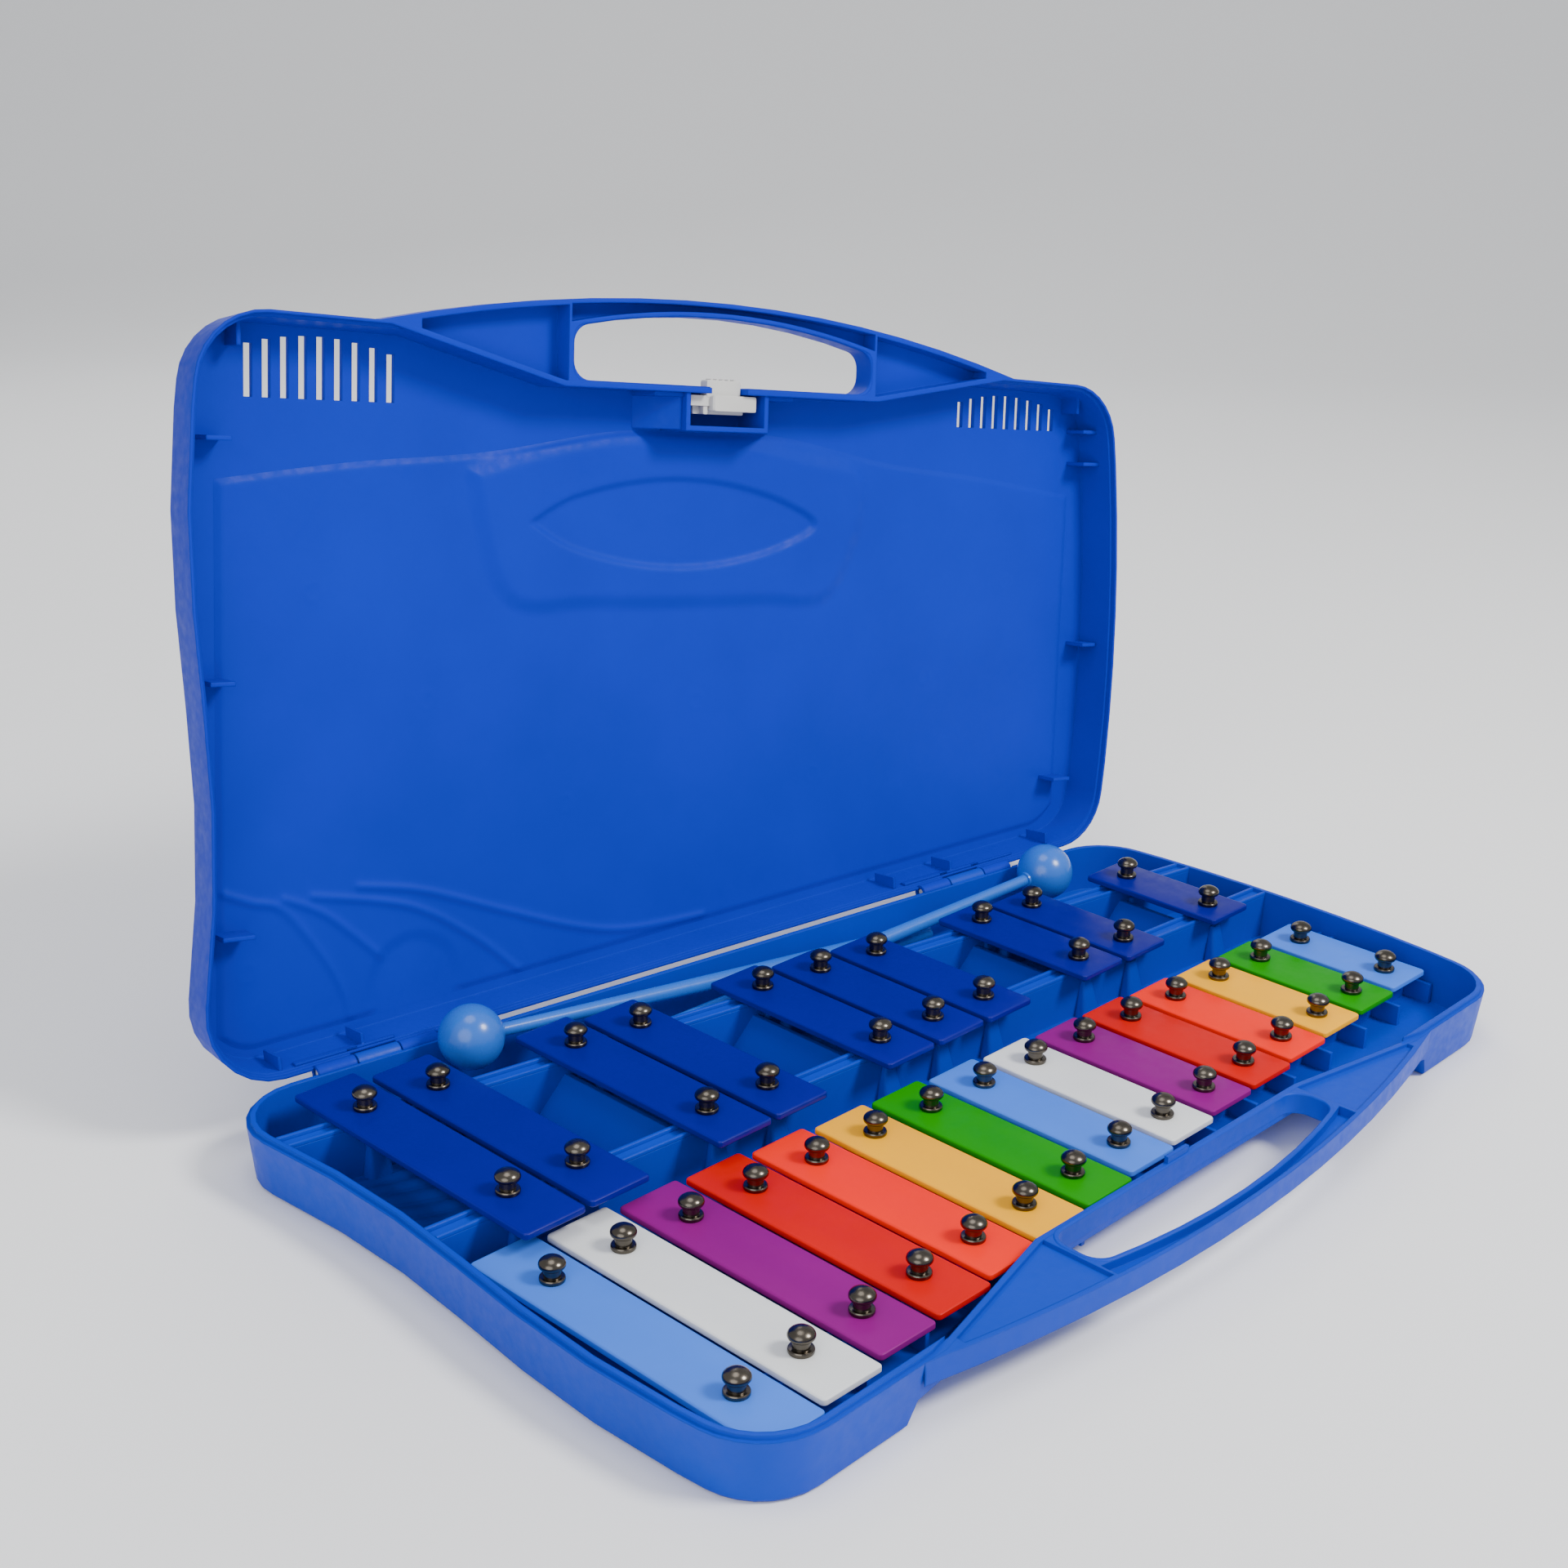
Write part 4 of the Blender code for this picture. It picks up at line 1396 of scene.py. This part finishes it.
    def _panel(self, name: str, level: float, direction: float) -> None:
        """Make the raised middle panel of the roof, seen from one side.

        Args:
            name: The piece's name.
            level: Height of the roof's face.
            direction: Which way the panel rises, 1 or -1.
        """
        half = self.panel_half
        xs = np.linspace(-half, half, 460)
        shares = np.linspace(0, 1, 240)
        edge = smooth_line(self.panel_edge)
        low = np.interp(xs, edge[:, 0], edge[:, 1])
        corner = np.clip((np.abs(xs) - 186) / 16, 0, 1)
        high = hinge_y(xs) - self.panel_margin - self.panel_margin * corner**2
        y = low[None, :] + shares[:, None] * (high - low)[None, :]
        x = np.broadcast_to(xs, y.shape)
        plan = np.stack([x, y], axis=-1)
        border = np.minimum.reduce([y - low, high - y, x + half, half - x])
        share = np.clip(border / 2.5, 0, 1)
        ball = np.hypot(x - self.ball_room[0], y - self.ball_room[1])
        share = share * np.clip((ball - self.ball_radius) / 6.0, 0, 1)
        plate = self.panel_rise * share * share * (3 - 2 * share)
        z = level + direction * (plate + self._relief(plan) * share)
        sketch = Sketch().sheet(np.stack([x, y, z], axis=-1))
        self.hang(self._moulding(sketch, name, 80), Body.LID, Slot.CASE)

    def _corner_ribs(self) -> None:
        """Short gussets between the wall and the roof near the corners."""
        sketch = Sketch()
        half = self.gusset_thick / 2
        for x0, x1, y in self.gussets:
            sketch.slab(box_ring(x0, x1, y - half, y + half), 29.0, ROOF_INNER + 0.4, 0.1)
        for x in (-self.front_gusset_x, self.front_gusset_x):
            y = front_y(x) + 3.0
            sketch.slab(box_ring(x - half, x + half, y, y + 9), 30.0, ROOF_INNER + 0.4, 0.1)
        self.hang(self._moulding(sketch, "lid_gussets"), Body.LID, Slot.CASE)

    def _hinge_plates(self) -> None:
        """Thickened plates and fins where the hinge meets the lid's rear wall."""
        sketch = Sketch()
        for start, end, top in self.plates:
            sketch.loft(self._wall_plate(start, end, 1.0, 23.6, top))
        for place in self.fins:
            sketch.loft(self._wall_plate(place, place + 1.3, 5.0, 24.0, 36.0))
        self.hang(self._moulding(sketch, "lid_hinge_plates"), Body.LID, Slot.CASE)

    def _wall_plate(
        self, start: float, end: float, thick: float, low: float, high: float,
    ) -> list[tuple[float, Ring]]:
        """Draw a plate on the inner face of the lid's rear wall.

        Args:
            start: Where it starts along the hinge line.
            end: Where it ends.
            thick: How far it stands out of the wall.
            low: Height of its lower edge.
            high: Height of its upper edge.

        Returns:
            Its levels, to loft through.
        """
        along = Vector((math.cos(HINGE_TILT), math.sin(HINGE_TILT)))
        back = Vector((-along.y, along.x))
        base = Vector((0.0, HINGE_Y)) - back * self.wall_face
        ring = []
        for distance, depth in ((start, thick), (end, thick), (end, 0.0), (start, 0.0)):
            ring.append(tuple(base + along * distance - back * depth))
        return [(low, ring), (high, inset(ring, 0.15))]

    def _latch_frame(self) -> None:
        """The sloping cheeks beside the latch box."""
        sketch = Sketch()
        top = ROOF_INNER + 0.3
        for side in (-1, 1):
            near = side * self.cheek_near
            x0, x1 = sorted((near, side * self.cheek_far))
            t0, t1 = sorted((near, near + side * 1.2))
            front = box_ring(x0, x1, -44.4, -42.6)
            sketch.loft([
                (25.0, box_ring(t0, t1, -44.4, -30.4)),
                (top, box_ring(x0, x1, -44.4, -30.4)),
            ])
            sketch.loft([(24.0, front), (top, front)])
        self.hang(self._moulding(sketch, "latch_box_cheeks"), Body.LID, Slot.CASE)


@dataclass
class Latch(Assembly):
    """The pale slider with its thumb pad and thin side arm, drawn with the lid shut."""

    pad_levels: tuple[tuple[float, float, float], ...] = (
        (23.2, -5.5, 12.0), (23.8, -6.2, 14.5), (29.2, -6.2, 17.2),
    )
    grips: int = 5
    grip_pitch: float = 2.7

    def build(self) -> None:
        """Make the slider and the grip ribs on it."""
        sketch = Sketch()
        sketch.loft([(z, box_ring(x0, x1, -43.7, -37.8, 0.7, 4)) for z, x0, x1 in self.pad_levels])
        sketch.slab(box_ring(-17.0, -5.0, -43.6, -39.6, 0.6), 25.6, 27.6, 0.3)
        sketch.slab(box_ring(-12.0, 12.0, -43.7, -36.6, 0.6), 29.0, 32.6, 0.4)
        sketch.slab(box_ring(-7.9, 7.9, -49.5, -43.0, 0.8), 25.5, 30.0, 0.5)
        sketch.slab(box_ring(-9.0, -7.0, -40.0, -36.5, 0.4), 26.0, 31.0, 0.3)
        pad = sketch.build("latch_thumb_pad", self.palette.get("latch"), opening())
        self.hang(pad, Body.LATCH, Slot.LATCH, ["latch_slider"])
        ribs = Sketch()
        for i in range(self.grips):
            x = self.grip_pitch * (i - 2)
            ribs.slab(box_ring(x - 0.5, x + 0.5, -50.0, -49.2, 0.2, 3), 25.9, 29.6, 0.2)
        piece = ribs.build("latch_grip_ribs", self.palette.get("latch"), opening())
        self.hang(piece, Body.LATCH, Slot.LATCH)


@dataclass
class Mallets(Assembly):
    """Two beaters with turned plastic balls and tapering handles."""

    length: float = 224.0
    radius: float = 12.0
    tip: float = 0.05
    butt: float = 4.2
    bodies: tuple[Body, Body] = (Body.MALLET_LEFT, Body.MALLET_RIGHT)

    def build(self) -> None:
        """Make both mallets."""
        for body, (head, tail) in zip(self.bodies, MALLETS):
            axis = (tail - head).normalized()
            for profile, sides, part, node in (
                (self._ball(), 56, "ball", "head"),
                (self._handle(), 28, "shaft", "handle"),
            ):
                turned = Sketch().revolve(profile, head, axis, sides)
                finish = self.palette.get("mallet")
                piece = turned.build(f"{body.value}_{part}", finish, smooth=50)
                self.hang(piece, body, Slot.MALLET, [f"{body.value}_{node}"])

    def _ball(self) -> list[Point2]:
        """Draw the profile of the ball with its short neck.

        Returns:
            Pairs of distance along the handle and radius.
        """
        turns = [math.pi * i / 40 for i in range(36)]
        arc = [
            (-self.radius * math.cos(turn), max(self.radius * math.sin(turn), self.tip))
            for turn in turns
        ]
        neck = ((0.955, 3.35), (1.03, 3.2), (1.05, 2.6))
        return arc + [(self.radius * share, radius) for share, radius in neck]

    def _handle(self) -> list[Point2]:
        """Draw the profile of the tapering handle with its round butt.

        Returns:
            Pairs of distance along the handle and radius.
        """
        end = self.length
        profile = [(3.4, 2.4), (60.0, 2.75), (120.0, 3.25), (end - 12.0, 4.15), (end - 5.0, self.butt)]
        for k in range(1, 7):
            turn = math.pi / 2 * k / 6
            along = end - self.butt + self.butt * math.sin(turn)
            profile.append((along, max(self.butt * math.cos(turn), self.tip)))
        return profile


@dataclass(frozen=True)
class Lamp:
    """One soft light: where it stands, what it looks at, its size and strength."""

    name: str
    place: tuple[float, float, float]
    size: float
    power: float
    colour: tuple[float, float, float] = (1.0, 1.0, 1.0)


@dataclass
class Studio:
    """Camera, floor and soft lights, in metres."""

    lamps: tuple[Lamp, ...] = (
        Lamp("key", (0.5, -1.0, 1.3), 0.5, 27.0, (1.0, 0.99, 0.97)),
        Lamp("fill", (-1.2, -0.4, 0.7), 1.2, 9.0, (0.96, 0.98, 1.0)),
        Lamp("top", (-0.2, 0.2, 1.7), 0.9, 7.0),
        Lamp("rim", (0.6, 1.3, 1.0), 1.0, 6.0),
    )
    aim: tuple[float, float, float] = (0.0, 0.06, 0.08)
    sky: tuple[float, float, float, float] = (0.93, 0.95, 1.0, 1.0)
    sky_strength: float = 0.6
    floor_half: float = 4.0
    bend_start: float = 1.6
    bend_radius: float = 1.2
    floor_turn: float = math.radians(-46)
    floor_gap: float = 0.0004

    def build(self) -> None:
        """Make everything that isn't part of the object."""
        self._camera()
        self._floor()
        for lamp in self.lamps:
            self._lamp(lamp)
        world = bpy.data.worlds.new("studio")
        world.use_nodes = True
        sky = world.node_tree.nodes["Background"]
        sky.inputs["Color"].default_value = self.sky
        sky.inputs["Strength"].default_value = self.sky_strength
        bpy.context.scene.world = world

    @staticmethod
    def _camera() -> None:
        """Stand the camera above and in front of the case's left end."""
        data = bpy.data.cameras.new("camera")
        data.sensor_width = 36.0
        data.lens = CAMERA_LENS
        data.clip_start = 0.05
        camera = bpy.data.objects.new("camera", data)
        bpy.context.scene.collection.objects.link(camera)
        turn = CAMERA_FORWARD.to_track_quat("-Z", "Y").to_matrix().to_4x4()
        roll = Matrix.Rotation(CAMERA_ROLL, 4, "Z")
        camera.matrix_world = Matrix.Translation(CAMERA_PLACE * MM) @ turn @ roll
        bpy.context.scene.camera = camera

    def _floor(self) -> None:
        """A plain pale floor that curves up far behind the object."""
        half, start, bend = self.floor_half, self.bend_start, self.bend_radius
        profile = [(-half, 0.0), (start, 0.0)]
        for k in range(1, 13):
            angle = math.pi / 2 * k / 12
            profile.append((start + bend * math.sin(angle), bend * (1 - math.cos(angle))))
        profile.append((start + bend, half))
        points = [(x, y, z) for y, z in profile for x in (-half, half)]
        faces = [[2 * i, 2 * i + 1, 2 * i + 3, 2 * i + 2] for i in range(len(profile) - 1)]
        mesh = bpy.data.meshes.new("floor")
        mesh.from_pydata(points, [], faces)
        mesh.shade_smooth()
        mesh.materials.append(self._paper())
        floor = bpy.data.objects.new("floor", mesh)
        bpy.context.scene.collection.objects.link(floor)
        floor.rotation_euler = (0.0, 0.0, self.floor_turn)
        floor.location = (0.0, 0.0, -self.floor_gap)

    @staticmethod
    def _paper() -> bpy.types.Material:
        """Make the matt, slightly uneven white of the floor.

        Returns:
            The material.
        """
        paper = bpy.data.materials.new("paper")
        paper.use_nodes = True
        tree = paper.node_tree
        noise = tree.nodes.new("ShaderNodeTexNoise")
        noise.inputs["Scale"].default_value = 3.0
        ramp = tree.nodes.new("ShaderNodeValToRGB")
        ramp.color_ramp.elements[0].color = (0.9, 0.9, 0.9, 1)
        ramp.color_ramp.elements[1].color = (0.93, 0.93, 0.93, 1)
        coords = tree.nodes.new("ShaderNodeTexCoord")
        tree.links.new(coords.outputs["Object"], noise.inputs["Vector"])
        tree.links.new(noise.outputs["Fac"], ramp.inputs["Fac"])
        shader = tree.nodes["Principled BSDF"]
        tree.links.new(ramp.outputs["Color"], shader.inputs["Base Color"])
        shader.inputs["Roughness"].default_value = 0.85
        return paper

    def _lamp(self, lamp: Lamp) -> None:
        """Hang one soft light, turned to the object.

        Args:
            lamp: The light.
        """
        data = bpy.data.lights.new(lamp.name, "AREA")
        data.shape = "DISK"
        data.size = lamp.size
        data.energy = lamp.power
        data.color = lamp.colour
        made = bpy.data.objects.new(lamp.name, data)
        bpy.context.scene.collection.objects.link(made)
        made.location = lamp.place
        aim = Vector(self.aim) - Vector(lamp.place)
        made.rotation_mode = "QUATERNION"
        made.rotation_quaternion = aim.to_track_quat("-Z", "Y")


def clear_scene() -> None:
    """Remove the objects of the start-up scene."""
    for item in list(bpy.data.objects):
        bpy.data.objects.remove(item, do_unlink=True)


def main() -> None:
    """Build the scene."""
    logging.basicConfig(level=logging.INFO, format="%(levelname)s %(message)s")
    clear_scene()
    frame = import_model()
    palette = Palette()
    repeater = Repeater(palette)
    notes = scale_notes()
    Tray(frame, palette, repeater).build(notes)
    Lid(frame, palette, repeater).build()
    Latch(frame, palette, repeater).build()
    NoteBars(frame, palette, repeater).build(notes)
    PinRows(frame, palette, repeater).build(notes)
    Mallets(frame, palette, repeater).build()
    Studio().build()
    bpy.context.view_layer.update()


if __name__ == "__main__":
    main()
